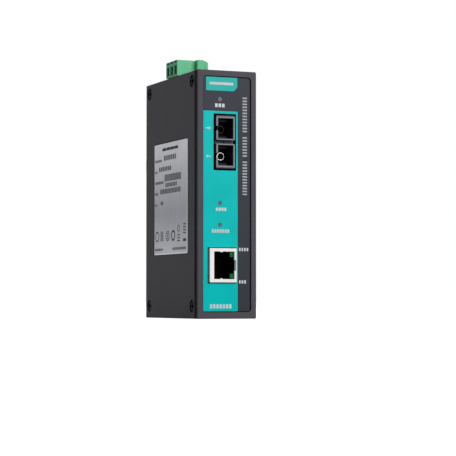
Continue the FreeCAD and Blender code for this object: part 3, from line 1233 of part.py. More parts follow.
# ---- option switches ----
GROOVE_X = BOARD_FACE - SWITCH_HEIGHT / 2
SWITCH_Y = [SWITCH_CENTRE_Y + (i - (SWITCH_COUNT - 1) / 2) * SWITCH_PITCH for i in range(SWITCH_COUNT)]
LEVER_LEFT = GROOVE_X - (LEVER_LENGTH + LEVER_TRAVEL) / 2


def switch_block():
    """Black block on the main board's lower edge with a groove for each lever in its underside."""
    half = SWITCH_LENGTH / 2
    block = box(BOARD_FACE - SWITCH_HEIGHT, BOARD_FACE, SWITCH_CENTRE_Y - half, SWITCH_CENTRE_Y + half,
                SWITCH_BOTTOM, SWITCH_BOTTOM + SWITCH_DEPTH)
    c = LEVER_CLEARANCE
    grooves = [box(LEVER_LEFT - c, LEVER_LEFT + LEVER_LENGTH + LEVER_TRAVEL + c, y - LEVER_WIDTH / 2 - c,
                   y + LEVER_WIDTH / 2 + c, SWITCH_BOTTOM - 1, SWITCH_BOTTOM + LEVER_ROOT) for y in SWITCH_Y]
    return block.cut(grooves)


def switch_lever(y):
    """One sliding lever, standing a little below the block."""
    low = SWITCH_BOTTOM - LEVER_PROUD
    lever = box(LEVER_LEFT, LEVER_LEFT + LEVER_LENGTH, y - LEVER_WIDTH / 2, y + LEVER_WIDTH / 2,
                low, SWITCH_BOTTOM + LEVER_ROOT - LEVER_CLEARANCE)
    return lever.makeChamfer(LEVER_CHAMFER, [edge for edge in lever.Edges if edge.BoundBox.ZMax < low + 0.01])


# ---- every sub-part by name ----
def all_parts():
    """The sub-parts in the order in which they are put together."""
    parts = {
        "main_shell": main_shell(), "side_cover": side_cover(), "cover_screws": cover_screws(),
        "front_overlay": front_overlay(), "side_label": side_label(),
        "jack_housing": jack_housing(), "jack_insert": jack_insert(), "jack_contacts": jack_contacts(),
        "upper_jack_light": jack_light(CAVITY_TOP - JACK_LIGHT_WIDTH), "lower_jack_light": jack_light(CAVITY_BOTTOM),
        "transceiver_body": transceiver_body(), "rx_barrel": fibre_barrel(RX_Z), "tx_barrel": fibre_barrel(TX_Z),
        "rx_latch_hooks": latch_hooks(RX_Z), "tx_latch_hooks": latch_hooks(TX_Z),
        "transceiver_pins": transceiver_pins(),
        "main_board": main_board(), "board_screws": board_screws(), "power_board": power_board(),
        "board_link_pins": board_link_pins(), "controller_chip": controller_chip(), "crystal": crystal(),
        "line_transformer": line_transformer(), "regulator_chip": regulator_chip(),
        "input_capacitor": input_capacitor(), "output_capacitor": output_capacitor(),
        "power_inductor": power_inductor(), "input_fuse": input_fuse(), "chip_parts": chip_parts(),
        "terminal_header": terminal_header(), "header_pins": header_pins(), "terminal_plug": terminal_plug(),
        "plug_contacts": plug_contacts(),
        "rail_clip_base": rail_clip_base(), "rail_latch": rail_latch(), "latch_spring": latch_spring(),
        "clip_screws": clip_screws(), "switch_block": switch_block(),
    }
    for name, z in INDICATOR_Z.items():
        parts[name + "_light_pipe"] = light_pipe(z)
        parts[name + "_led"] = indicator_led(z)
    for number, y in enumerate(POLES, 1):
        parts[f"clamp_screw_{number}"] = clamp_screw(y)
        parts[f"clamp_cage_{number}"] = clamp_cage(y)
    for number, y in enumerate(SWITCH_Y, 1):
        parts[f"switch_lever_{number}"] = switch_lever(y)
    return parts


def main():
    """Writes one STEP file for each sub-part."""
    os.makedirs("parts", exist_ok=True)
    for name, shape in all_parts().items():
        shape.exportStep(f"parts/{name}.step")
        print(f"{name}: {len(shape.Solids)} solid(s), {shape.Volume:.1f} mm3, valid {shape.isValid()}")


main()
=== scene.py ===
"""Looks of a fibre media converter: view, light, finishes, print and the latch's coil spring.

Metres, in the part's frame: X is the width, Y runs from the front face to the rail clip, Z is up.
"""
import bpy
import json
import math
import numpy as np
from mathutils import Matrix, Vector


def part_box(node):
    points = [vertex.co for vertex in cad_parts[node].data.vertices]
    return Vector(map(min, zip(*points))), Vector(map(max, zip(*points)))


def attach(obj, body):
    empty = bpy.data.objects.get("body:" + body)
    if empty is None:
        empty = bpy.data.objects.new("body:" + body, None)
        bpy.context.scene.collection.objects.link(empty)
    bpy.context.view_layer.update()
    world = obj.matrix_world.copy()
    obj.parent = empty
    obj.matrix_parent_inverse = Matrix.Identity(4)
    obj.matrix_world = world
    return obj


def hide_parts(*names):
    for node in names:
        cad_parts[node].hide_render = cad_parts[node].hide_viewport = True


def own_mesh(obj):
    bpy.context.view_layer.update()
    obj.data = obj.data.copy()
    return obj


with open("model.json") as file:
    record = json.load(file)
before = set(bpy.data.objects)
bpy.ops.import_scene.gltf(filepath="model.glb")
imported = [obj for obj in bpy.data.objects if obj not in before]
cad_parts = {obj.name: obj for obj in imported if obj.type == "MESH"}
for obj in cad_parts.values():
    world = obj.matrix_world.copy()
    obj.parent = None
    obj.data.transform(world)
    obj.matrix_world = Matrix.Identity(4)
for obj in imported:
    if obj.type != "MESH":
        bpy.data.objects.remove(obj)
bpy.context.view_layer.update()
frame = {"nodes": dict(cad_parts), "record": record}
NODES = frame["nodes"]
MM = 0.001
WHITE = (1.0, 1.0, 1.0, 1.0)
BLACK = (0.0, 0.0, 0.0, 1.0)

# ---- view, light and floor ----
SENSOR_WIDTH = 36.0               # millimetres, as is the lens
LENS_LENGTH = 138.07
NEAREST_SEEN = 0.01
CAMERA_PLACE = (-0.31444, -0.79457, 0.00889)
CAMERA_TILT = 92.353              # degrees from straight down: 2.353 above level
CAMERA_TURN = -22.526             # degrees about Z
WORLD_FILL = 0.32                 # strength of the world's light on the object
# Each lamp: name, place, width, power.
LAMPS = (("front_softbox", (0.42, -1.05, 0.62), 0.8, 13.2),
         ("rear_softbox", (0.3, 1.1, 0.6), 0.8, 7.0))
LAMP_AIM = (0.0, 0.0, 0.06)       # middle of the housing
FLOOR_REACH = 6.0
FLOOR_LEVEL = -0.05 * MM          # just below the base, so that no two faces share a plane
FLOOR_GREY = (0.45, 0.45, 0.45, 1.0)
FLOOR_GLOW = (0.86, 1.0)          # near the object and far from it
GLOW_SPAN = (0.1, 0.45)           # distances between which the glow grows

# ---- sizes of what the finishes show ----
HIGHLIGHT_REACH = 0.35 * MM            # how far the painted edge highlights reach
EDGE_COSINES = (0.75, 0.98)       # full painted edge highlight, and none, by how far the rounded normal turns
COVER_SHADE = (0.08 * MM, 0.24 * MM)      # depths under the cover's face: painted shade starts, painted shade is full
RECESS_GAP = 0.3 * MM             # shell's recess, past the sheet's outline
RECESS_START = 0.12 * MM          # depth of the recess's painted shade under the shell's front face
RECESS_END = 0.1 * MM             # and how far it goes on behind the sheet
FIELD_RIGHT = 17.65 * MM          # overlay's left edge to the printed field's right edge
FIELD_TOP = 94.45 * MM            # overlay's bottom edge to the field's top
RIM_SHADE_WIDTH = 0.2 * MM               # width of the painted shade round the sheet's rim
PATCH_LEFT = 1.65 * MM            # printed patch near the top, from the overlay's left and bottom edges
PATCH_RIGHT = 17.45 * MM
PATCH_LOW = 104.05 * MM
PATCH_HIGH = 110.85 * MM
PATCH_CORNER = 1.8 * MM           # the patch's cut corner
SHEET_CLOUD = 0.1                 # how far the clouds darken the sheet
LABEL_UPPER = (0.35, 0.95)        # shares of the label's height between which the top's painted reflection comes in
LABEL_LOWER = 0.4                 # and up to which the foot's painted reflection reaches
LABEL_CLOUD = 0.12                # how far the clouds darken the label
HIGHLIGHT_MARGIN = 0.45 * MM           # label's front and lower edges, with a painted highlight
REAR_MARGIN = 0.6 * MM            # label's rear edge, in painted shade
TOP_MARGIN = 0.25 * MM            # label's top edge, in painted shade
PORT_WIDTH = 7.6 * MM             # mouth of each fibre port
PORT_HEIGHT = 9.5 * MM
PORT_LIP = 0.18 * MM              # painted shade round each port's mouth
LIP_SHARE = 0.8                   # how dark the painted shade on the rims' edges is
RIM_EDGE = 0.5 * MM               # painted shade at the collars' top and foot
PORT_SHADE = (0.15 * MM, 0.9 * MM)        # depths: the rims' colour ends, the black painted shade is full
BAND_HALF = 0.9 * MM              # half the height of the band between the collars
BAND_DEPTH = (2.2 * MM, 2.7 * MM)         # depths between which the band's own face lies
BORE_RADIUS = 1.56 * MM           # bright barrel's bore, in painted shade
BARREL_RIM = 0.5 * MM             # length of the bright barrel's polished rim
TIP_SHADE = (0.4 * MM, 1.6 * MM)          # depths: a jack light's tip starts to fall off into painted shade, and the tip's colour is gone
PLUG_WALL = 0.5 * MM
PASSAGE_SHADE = (0.2 * MM, 1.2 * MM)      # depths in the wire entries: painted shade starts, painted shade is full
PLUG_SEAM = 0.25 * MM             # painted shade line where the plug meets its header
SEAM_SHARE = 0.5                  # how dark that painted shade is
BOARD_EDGE = 0.4 * MM             # main board's front edge, in painted shade
TRACK_WIDTH = 0.22 * MM
TRACK_STEP_ALONG = 5.2 * MM
TRACK_STEP_UP = 1.7 * MM
INK_GAP = 0.02 * MM               # sheet's or label's face to the ink on it

# ---- sizes of the latch's spring ----
SPRING_TURNS = 7.0                # with a closed turn at each end
SPRING_RADIUS = 1.6 * MM          # coil's mean radius
WIRE_RADIUS = 0.28 * MM
SPRING_CLOSE = 1.05               # pitch of a closed turn in wire widths

# ---- the case's colours, with their painted edge highlights and painted shade, as shares ----
CASE_CLOUD = 0.04                 # how far the clouds lighten and darken
CASE_EDGE_HIGHLIGHT = 0.35                  # how much of the painted edge highlight shows at the edges
EDGE_HIGHLIGHT_LIGHT = 1.9                  # painted edge highlight's light, as a share of the plain colour's
# painted edge highlight's light on the side cover
COVER_EDGE_HIGHLIGHT_LIGHT = 1.7
PAINTED_SHADE_SHARE = 0.12                 # light left in the painted shade where a face is sunk or cut

# ---- noises, in grains to a metre ----
CLOUDS = 60.0
GRAIN = 1500.0
FINE_GRAIN = 2200.0
FLOW = 220.0                      # marks of plastic that flowed into a mould
LINES = 2600.0                    # drawn or turned lines on metal

# ---- how a noise is stretched: the lines run along the axis with the small value ----
EVEN = (1.0, 1.0, 1.0)
ALONG_FLOW = (1.0, 1.0, 0.35)
UP_LINES = (1.0, 1.0, 0.03)
LABEL_LINES = (1.0, 1.0, 0.02)
LABEL_CLOUDS = (1.0, 0.5, 1.0)


# ---- shader pieces ----
def add_node(tree, kind, inputs=None, **settings):
    """A shader node with its settings, and its inputs set to values or linked to sockets."""
    node = tree.nodes.new(kind)
    for name, value in settings.items():
        setattr(node, name, value)
    for name, value in (inputs or {}).items():
        if isinstance(value, bpy.types.NodeSocket):
            tree.links.new(value, node.inputs[name])
        else:
            node.inputs[name].default_value = value
    return node


def maths(tree, operation, first, second=0.0):
    """The result of one sum on one or two values or value sockets."""
    return add_node(tree, "ShaderNodeMath", {0: first, 1: second}, operation=operation).outputs[0]


def over(tree, value, limit):
    """1 where a value is above a limit, and 0 elsewhere."""
    return maths(tree, "GREATER_THAN", value, limit)


def under(tree, value, limit):
    """1 where a value is below a limit, and 0 elsewhere."""
    return maths(tree, "LESS_THAN", value, limit)


def both(tree, first, second):
    """Two masks multiplied: 1 where both are 1."""
    return maths(tree, "MULTIPLY", first, second)


def either(tree, first, second):
    """The greater of two masks."""
    return maths(tree, "MAXIMUM", first, second)


def between(tree, value, low, high):
    """1 where a value lies between two limits, and 0 elsewhere."""
    return both(tree, over(tree, value, low), under(tree, value, high))


def away_from(tree, value, point):
    """How far a value lies from a point, to either side."""
    return maths(tree, "ABSOLUTE", maths(tree, "SUBTRACT", value, point))


def place(tree, stretch=EVEN):
    """Object coordinates in metres, stretched along the axes where a value is under 1."""
    coords = add_node(tree, "ShaderNodeTexCoord").outputs["Object"]
    return add_node(tree, "ShaderNodeMapping", {"Vector": coords, "Scale": stretch}).outputs[0]


def place_axes(tree):
    """The X, Y and Z of a point as three sockets."""
    return add_node(tree, "ShaderNodeSeparateXYZ", {0: place(tree)}).outputs


def speckle(tree, per_metre, detail=2.0, stretch=EVEN):
    """Noise with about that many grains in a metre."""
    return add_node(tree, "ShaderNodeTexNoise", {"Vector": place(tree, stretch), "Scale": per_metre,
                                                 "Detail": detail}).outputs["Fac"]


def spread(tree, value, low, high, start=0.3, end=0.7):
    """A value from start to end carried to the range low to high, and held at its ends."""
    return add_node(tree, "ShaderNodeMapRange", {"Value": value, "From Min": start, "From Max": end,
                                                 "To Min": low, "To Max": high}).outputs[0]


def deepening(tree, value, face, depths):
    """0 at a face and to the first depth behind it, rising to 1 at the second depth."""
    return spread(tree, value, 0.0, 1.0, face + depths[0], face + depths[1])


def blended(tree, share, first, second):
    """A colour between two colours or colour sockets."""
    return add_node(tree, "ShaderNodeMix", {"Factor": share, 6: first, 7: second},
                    data_type="RGBA").outputs[2]


def raised(tree, height, strength, depth):
    """A bump of that depth in metres."""
    return add_node(tree, "ShaderNodeBump", {"Height": height, "Strength": strength,
                                             "Distance": depth}).outputs[0]


def along_edges(tree):
    """0 on open ground, rising to 1 at edges, where the rounded normal turns away from the face's own."""
    rounded = add_node(tree, "ShaderNodeBevel", {"Radius": HIGHLIGHT_REACH}, samples=6).outputs[0]
    flat = add_node(tree, "ShaderNodeNewGeometry").outputs["True Normal"]
    turned = add_node(tree, "ShaderNodeVectorMath", {0: rounded, 1: flat},
                      operation="DOT_PRODUCT").outputs["Value"]
    return spread(tree, turned, 1.0, 0.0, *EDGE_COSINES)


def srgb(red, green, blue):
    """A colour as a screen shows it, 0 to 255 for each part, as the linear colour a shader takes."""
    def linear(value):
        """One part of the colour, by the sRGB curve."""
        share = value / 255
        return share / 12.92 if share <= 0.04045 else ((share + 0.055) / 1.055) ** 2.4
    return (linear(red), linear(green), linear(blue), 1.0)


def shade(colour, share):
    """The same colour with its light cut to a share, or raised where the share is over 1."""
    return (colour[0] * share, colour[1] * share, colour[2] * share, 1.0)


def mottled(tree, noise, colour, low, high):
    """A colour whose light a noise carries between two shares."""
    return blended(tree, spread(tree, noise, 0.0, 1.0), shade(colour, low), shade(colour, high))


# ---- view, floor and light ----
def add_camera():
    """A long lens near the object's foot, turned to show the front and a little of the left side."""
    lens = bpy.data.cameras.new("camera")
    lens.sensor_width = SENSOR_WIDTH
    lens.lens = LENS_LENGTH
    lens.clip_start = NEAREST_SEEN
    camera = bpy.data.objects.new("camera", lens)
    camera.location = CAMERA_PLACE
    camera.rotation_euler = (math.radians(CAMERA_TILT), 0, math.radians(CAMERA_TURN))
    bpy.context.scene.collection.objects.link(camera)
    bpy.context.scene.camera = camera


def seen_directly(tree):
    """1 for camera, glossy and transmission rays, 0 for the rays that light the object."""
    path = add_node(tree, "ShaderNodeLightPath").outputs
    mirrored = either(tree, path["Is Camera Ray"], path["Is Glossy Ray"])
    return either(tree, mirrored, path["Is Transmission Ray"])


def light_world():
    """White where it is seen or mirrored, and a weaker even fill where it lights the object."""
    world = bpy.data.worlds.new("studio")
    world.use_nodes = True
    tree = world.node_tree
    tree.nodes.clear()
    fill, white = (add_node(tree, "ShaderNodeBackground", {"Color": WHITE, "Strength": strength})
                   for strength in (WORLD_FILL, 1.0))
    mixed = add_node(tree, "ShaderNodeMixShader", {0: seen_directly(tree), 1: fill.outputs[0],
                                                   2: white.outputs[0]})
    add_node(tree, "ShaderNodeOutputWorld", {"Surface": mixed.outputs[0]})
    bpy.context.scene.world = world


def add_softbox(name, spot, size, power):
    """A square area lamp aimed at the middle of the housing."""
    lamp = bpy.data.lights.new(name, "AREA")
    lamp.size = size
    lamp.energy = power
    holder = bpy.data.objects.new(name, lamp)
    holder.location = spot
    x, y, z = (aim - start for aim, start in zip(LAMP_AIM, spot))
    holder.rotation_euler = (math.atan2(math.hypot(x, y), -z), 0, math.atan2(y, x) - math.pi / 2)
    bpy.context.scene.collection.objects.link(holder)


def add_floor():
    """A wide pale floor that keeps the object's soft shadow and turns pure white further out."""
    corners = [(-FLOOR_REACH, -FLOOR_REACH), (FLOOR_REACH, -FLOOR_REACH),
               (FLOOR_REACH, FLOOR_REACH), (-FLOOR_REACH, FLOOR_REACH)]
    mesh = bpy.data.meshes.new("floor")
    mesh.from_pydata([(x, y, FLOOR_LEVEL) for x, y in corners], [], [(0, 1, 2, 3)])
    floor = bpy.data.objects.new("floor", mesh)
    bpy.context.scene.collection.objects.link(floor)
    material = bpy.data.materials.new("floor_paper")
    material.use_nodes = True
    tree = material.node_tree
    tree.nodes.clear()
    distance = add_node(tree, "ShaderNodeVectorMath", {0: place(tree)},
                        operation="LENGTH").outputs["Value"]
    glow = both(tree, seen_directly(tree), spread(tree, distance, *FLOOR_GLOW, *GLOW_SPAN))
    paper = add_node(tree, "ShaderNodeBsdfDiffuse", {"Color": FLOOR_GREY})
    light = add_node(tree, "ShaderNodeEmission", {"Color": WHITE, "Strength": glow})
    summed = add_node(tree, "ShaderNodeAddShader", {0: paper.outputs[0], 1: light.outputs[0]})
    add_node(tree, "ShaderNodeOutputMaterial", {"Surface": summed.outputs[0]})
    mesh.materials.append(material)


# ---- finishes ----
def start_finish(name, **inputs):
    """A new material with one Principled shader. Returns the material, its tree and the shader."""
    material = bpy.data.materials.new(name)
    material.use_nodes = True
    tree = material.node_tree
    tree.nodes.clear()
    values = {key.replace("_", " "): value for key, value in inputs.items()}
    shader = add_node(tree, "ShaderNodeBsdfPrincipled", values)
    add_node(tree, "ShaderNodeOutputMaterial", {"Surface": shader.outputs[0]})
    return material, tree, shader


def surface(tree, shader, colour, roughness, normal):
    """Links a finish's colour, roughness and bump to its shader."""
    tree.links.new(colour, shader.inputs["Base Color"])
    tree.links.new(roughness, shader.inputs["Roughness"])
    tree.links.new(normal, shader.inputs["Normal"])


def textured(tree, shader, colour, noise, smooth, rough, strength, depth):
    """A surface whose roughness, from smooth to rough, and bump both follow one noise."""
    surface(tree, shader, colour, spread(tree, noise, smooth, rough),
            raised(tree, noise, strength, depth))


def clouded(tree, colour, cloud, edge_highlight=0.0, highlight_light=EDGE_HIGHLIGHT_LIGHT):
    """A colour in faint clouds, with a painted highlight that makes the edges paler where its share is
    over 0.
    """
    tint = mottled(tree, speckle(tree, CLOUDS, 3.0), colour, 1 - cloud, 1 + cloud)
    if edge_highlight:
        tint = blended(tree, both(tree, along_edges(tree), edge_highlight), tint, shade(colour, highlight_light))
    return tint


def grained(tree, shader, colour, roughness, grain=GRAIN, depth=0.02 * MM):
    """The fine raised grain of matt plastic or paint."""
    fine = speckle(tree, grain, 3.0)
    textured(tree, shader, colour, fine, roughness - 0.05, roughness + 0.07, 0.5, depth)


def flow_marks(tree):
    """The faint upright marks that plastic leaves where it flows into a mould."""
    return speckle(tree, FLOW, 2.0, ALONG_FLOW)


def grained_plastic(name, colour, roughness, gloss, grain, depth, cloud=0.1, edge_highlight=0.0):
    """Matt plastic or paint: raised grain, faint clouds of colour and, where its share is over 0, a
    painted highlight along the edges.
    """
    material, tree, shader = start_finish(name, Specular_IOR_Level=gloss)
    grained(tree, shader, clouded(tree, colour, cloud, edge_highlight), roughness, grain, depth)
    return material


def printing_ink(name, colour):
    """Matt ink with a very fine grain."""
    return grained_plastic(name, colour, 0.6, 0.1, FINE_GRAIN, 0.006 * MM)


def cover_plastic(name, colour, roughness, gloss):
    """Plastic of the side cover, with a painted highlight along its edges and painted shade in the screw
    cups, the label's pocket and every face further in than the cover's face.
    """
    material, tree, shader = start_finish(name, Specular_IOR_Level=gloss)
    tint = clouded(tree, colour, CASE_CLOUD, CASE_EDGE_HIGHLIGHT, COVER_EDGE_HIGHLIGHT_LIGHT)
    # painted shade on all faces further in than the cover's outer face
    sunk_shade = deepening(tree, place_axes(tree)[0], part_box("side_cover")[0][0], COVER_SHADE)
    grained(tree, shader, blended(tree, sunk_shade, tint, shade(colour, PAINTED_SHADE_SHARE)), roughness)
    return material


def shell_plastic(name, colour, roughness, gloss):
    """Plastic of the main shell, with a painted highlight along its edges and painted shade in the gap
    round the front sheet.
    """
    material, tree, shader = start_finish(name, Specular_IOR_Level=gloss)
    tint = clouded(tree, colour, CASE_CLOUD, CASE_EDGE_HIGHLIGHT)
    low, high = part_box("front_overlay")
    x, y, z = place_axes(tree)
    # painted shade in the recess round the front sheet: its walls, and its floor where it shows in the
    # gap
    in_recess = both(tree, between(tree, x, low[0] - RECESS_GAP, high[0] + RECESS_GAP),
                     between(tree, z, low[2] - RECESS_GAP, high[2] + RECESS_GAP))
    sunk_shade = between(tree, y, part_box("main_shell")[0][1] + RECESS_START, high[1] + RECESS_END)
    tint = blended(tree, both(tree, in_recess, sunk_shade), tint, shade(colour, PAINTED_SHADE_SHARE))
    grained(tree, shader, tint, roughness)
    return material


def smooth_plastic(name, colour, roughness, gloss):
    """Moulded plastic with a polished skin, faint flow marks and a little variation in colour."""
    material, tree, shader = start_finish(name, Specular_IOR_Level=gloss)
    flow = flow_marks(tree)
    textured(tree, shader, mottled(tree, flow, colour, 0.94, 1.05), flow,
             roughness - 0.04, roughness + 0.06, 0.3, 0.01 * MM)
    return material


def port_places():
    """The X of the two ports' axes, the Z midway between them, and half the distance between them."""
    (rx_low, rx_high), (tx_low, tx_high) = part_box("rx_barrel"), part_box("tx_barrel")
    rx_z, tx_z = (rx_low[2] + rx_high[2]) / 2, (tx_low[2] + tx_high[2]) / 2
    return (rx_low[0] + rx_high[0]) / 2, (rx_z + tx_z) / 2, abs(rx_z - tx_z) / 2


def port_plastic(name, rim, band, inside):
    """Plastic of the transceiver: pale rims with painted shade at their edges, a bluish band between
    them, and walls painted black as shade inside the ports.
    """
    material, tree, shader = start_finish(name, Specular_IOR_Level=0.12)
    low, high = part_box("transceiver_body")
    centre_x, middle, half_pitch = port_places()
    x, y, z = place_axes(tree)
    off_middle = away_from(tree, z, middle)
    outer = over(tree, off_middle, (high[2] - low[2]) / 2 - RIM_EDGE)
    lip = both(tree, under(tree, away_from(tree, x, centre_x), PORT_WIDTH / 2 + PORT_LIP),
               under(tree, away_from(tree, off_middle, half_pitch), PORT_HEIGHT / 2 + PORT_LIP))
    # painted shade at the mouths' edges and at the collars' top and foot, and black painted shade deeper
    # in the ports
    edge_shade = both(tree, either(tree, lip, outer), LIP_SHARE)
    sunk_shade = deepening(tree, y, low[1], PORT_SHADE)
    flow = speckle(tree, 260.0)
    tint = blended(tree, either(tree, sunk_shade, edge_shade), mottled(tree, flow, rim, 0.94, 1.06), inside)
    on_band = both(tree, between(tree, z, middle - BAND_HALF, middle + BAND_HALF),
                   between(tree, y, low[1] + BAND_DEPTH[0], low[1] + BAND_DEPTH[1]))
    textured(tree, shader, blended(tree, on_band, tint, band), flow, 0.38, 0.5, 0.3, 0.01 * MM)
    return material


def terminal_plastic(name, colour, dark):
    """Green plastic of the plug and its header, with painted shade in the plug's passages and along their
    seam.
    """
    material, tree, shader = start_finish(name, Specular_IOR_Level=0.03)
    low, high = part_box("terminal_plug")
    x, y, z = place_axes(tree)
    # painted shade deep in the plug's wire entries
    inside = both(tree, between(tree, y, low[1] + PLUG_WALL, high[1] - PLUG_WALL),
                  between(tree, z, low[2] + 2 * PLUG_WALL, high[2] - PLUG_WALL))
    inside = both(tree, inside, under(tree, x, high[0] - PLUG_WALL))
    inside = both(tree, inside, deepening(tree, x, low[0], PASSAGE_SHADE))
    # painted shade along the seam between plug and header
    seam_shade = both(tree, between(tree, x, high[0], high[0] + PLUG_SEAM), SEAM_SHARE)
    flow = flow_marks(tree)
    tint = mottled(tree, flow, colour, 0.95, 1.05)
    textured(tree, shader, blended(tree, either(tree, inside, seam_shade), tint, dark), flow,
             0.42, 0.52, 0.3, 0.01 * MM)
    return material


def worked_metal(name, colour, roughness, stretch):
    """Bare or plated metal, with fine lines along the stretched axis, or a fine grain where none is."""
    material, tree, shader = start_finish(name, Metallic=1.0)
    tint = mottled(tree, speckle(tree, 120.0, 3.0), colour, 0.86, 1.0)
    textured(tree, shader, tint, speckle(tree, LINES, 2.0, stretch),
             roughness - 0.07, roughness + 0.1, 0.35, 0.008 * MM)
    return material


def ringed_sleeve(name, node, rim, dark, bore_radius):
    """A sleeve whose rim is polished bright. Its bore and its length behind the rim are painted dark as
    shade.
    """
    material, tree, shader = start_finish(name, Metallic=0.4)
    low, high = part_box(node)
    axis = ((low[0] + high[0]) / 2, 0.0, (low[2] + high[2]) / 2)
    radius = add_node(tree, "ShaderNodeVectorMath", {0: place(tree, (1.0, 0.0, 1.0)), 1: axis},
                      operation="DISTANCE").outputs["Value"]
    # painted shade in the bore and along the sleeve behind its rim
    shaded_part = either(tree, under(tree, radius, bore_radius),
                    over(tree, place_axes(tree)[1], low[1] + BARREL_RIM))
    turned = speckle(tree, LINES)
    textured(tree, shader, blended(tree, shaded_part, mottled(tree, turned, rim, 0.88, 1.0), dark),
             turned, 0.2, 0.34, 0.3, 0.008 * MM)
    return material


def clear_plastic(name, colour, clearness, roughness):
    """Tinted clear plastic with small flecks inside, as in light pipes and lamps."""
    material, tree, shader = start_finish(name, Transmission_Weight=clearness, IOR=1.49)
    flecks = speckle(tree, 900.0)
    textured(tree, shader, mottled(tree, flecks, colour, 0.85, 1.1), flecks,
             roughness - 0.03, roughness + 0.06, 0.15, 0.005 * MM)
    return material


def tipped_light(name, node, tip, behind):
    """A coloured bar with bright flecks at its front end as painted glints, falling off behind it to a
    dark tint of painted shade.
    """
    material, tree, shader = start_finish(name, Specular_IOR_Level=0.05)
    flecks = speckle(tree, 1400.0)
    # painted shade behind the tip, and flecks up to half again as bright as painted glints
    sunk_shade = deepening(tree, place_axes(tree)[1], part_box(node)[0][1], TIP_SHADE)
    textured(tree, shader, blended(tree, sunk_shade, mottled(tree, flecks, tip, 0.6, 1.5), behind),
             flecks, 0.2, 0.32, 0.4, 0.03 * MM)
    return material


def printed_sheet(name, ground, field, patch, rim):
    """Matt dark grey film with two printed areas: a tall field on the left and a patch near the top.

    The ground and the field are pairs of colours, for the sheet's top and its foot, the paler top being a
    painted fall-off of light. The patch is a rectangle with its lower right corner cut off at 45 degrees.
    The rim is the film's edge, painted dark as shade.
    """
    material, tree, shader = start_finish(name, Specular_IOR_Level=0.04)
    x, _, z = place_axes(tree)
    low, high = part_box("front_overlay")
    left, bottom = low[0], low[2]
    # painted light: the sheet's colours grow paler towards its top, as a fall-off of light down the front
    rise = spread(tree, z, 0.0, 1.0, bottom, high[2])
    ground_tint, field_tint = (blended(tree, rise, foot, top) for top, foot in (ground, field))
    in_field = both(tree, under(tree, x, left + FIELD_RIGHT), under(tree, z, bottom + FIELD_TOP))
    in_patch = both(tree, between(tree, x, left + PATCH_LEFT, left + PATCH_RIGHT),
                    between(tree, z, bottom + PATCH_LOW, bottom + PATCH_HIGH))
    cut_line = left + PATCH_RIGHT - bottom - PATCH_LOW - PATCH_CORNER
    in_patch = both(tree, in_patch, under(tree, maths(tree, "SUBTRACT", x, z), cut_line))
    tint = blended(tree, in_patch, blended(tree, in_field, ground_tint, field_tint), patch)
    clouds = spread(tree, speckle(tree, 70.0, 3.0), 0.0, 1.0)
    tint = blended(tree, both(tree, clouds, SHEET_CLOUD), tint, BLACK)
    # painted shade along the sheet's rim, where the recess's edge shades it
    inner = both(tree, between(tree, x, left + RIM_SHADE_WIDTH, high[0] - RIM_SHADE_WIDTH),
                 between(tree, z, bottom + RIM_SHADE_WIDTH, high[2] - RIM_SHADE_WIDTH))
    textured(tree, shader, blended(tree, inner, rim, tint), speckle(tree, FINE_GRAIN),
             0.5, 0.62, 0.3, 0.012 * MM)
    return material


def metallised_label(name, top, middle, foot, painted_edge):
    """Silvered polyester label: soft bands of silver from top to foot as a painted reflection, drawn
    lines, two edges with a painted highlight.

    The front and lower edges carry a painted highlight, and the rear and top edges painted shade.
    """
    material, tree, shader = start_finish(name, Metallic=0.85, Specular_IOR_Level=0.1)
    low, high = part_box("side_label")
    height = high[2] - low[2]
    _, y, z = place_axes(tree)
    # painted reflection: bands of brighter and darker silver from top to foot
    upper = spread(tree, z, 0.0, 1.0, *(low[2] + share * height for share in LABEL_UPPER))
    lower = spread(tree, z, 1.0, 0.0, low[2], low[2] + LABEL_LOWER * height)
    tint = blended(tree, upper, blended(tree, lower, middle, foot), top)
    clouds = spread(tree, speckle(tree, 90.0, 2.0, LABEL_CLOUDS), 0.0, LABEL_CLOUD)
    tint = blended(tree, clouds, tint, shade(middle, 0.7))
    # painted highlight on the front and lower edges, painted shade on the rear and top edges
    highlit_edge = either(tree, under(tree, y, low[1] + HIGHLIGHT_MARGIN),
                       under(tree, z, low[2] + HIGHLIGHT_MARGIN))
    shaded_edge = either(tree, over(tree, y, high[1] - REAR_MARGIN),
                         over(tree, z, high[2] - TOP_MARGIN))
    tint = blended(tree, shaded_edge, blended(tree, highlit_edge, tint, painted_edge), shade(middle, 0.15))
    textured(tree, shader, tint, speckle(tree, 3000.0, 2.0, LABEL_LINES),
             0.42, 0.56, 0.2, 0.006 * MM)
    return material


def circuit_board(name, mask_colour, track_colour):
    """Glossy solder mask over faint raised tracks that run up and along the board, with painted shade
    along its front edge.
    """
    material, tree, shader = start_finish(name, Specular_IOR_Level=0.5)
    tracks = add_node(tree, "ShaderNodeTexBrick", {
        "Vector": place(tree), "Scale": 1.0, "Mortar Size": TRACK_WIDTH, "Mortar Smooth": 0.1,
        "Brick Width": TRACK_STEP_ALONG, "Row Height": TRACK_STEP_UP}).outputs["Fac"]
    # painted shade along the board's front edge
    painted_edge = under(tree, place_axes(tree)[1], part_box("main_board")[0][1] + BOARD_EDGE)
    tint = blended(tree, tracks, mask_colour, track_colour)
    surface(tree, shader, blended(tree, painted_edge, tint, shade(mask_colour, PAINTED_SHADE_SHARE)),
            spread(tree, speckle(tree, 900.0), 0.22, 0.34), raised(tree, tracks, 0.6, 0.03 * MM))
    return material


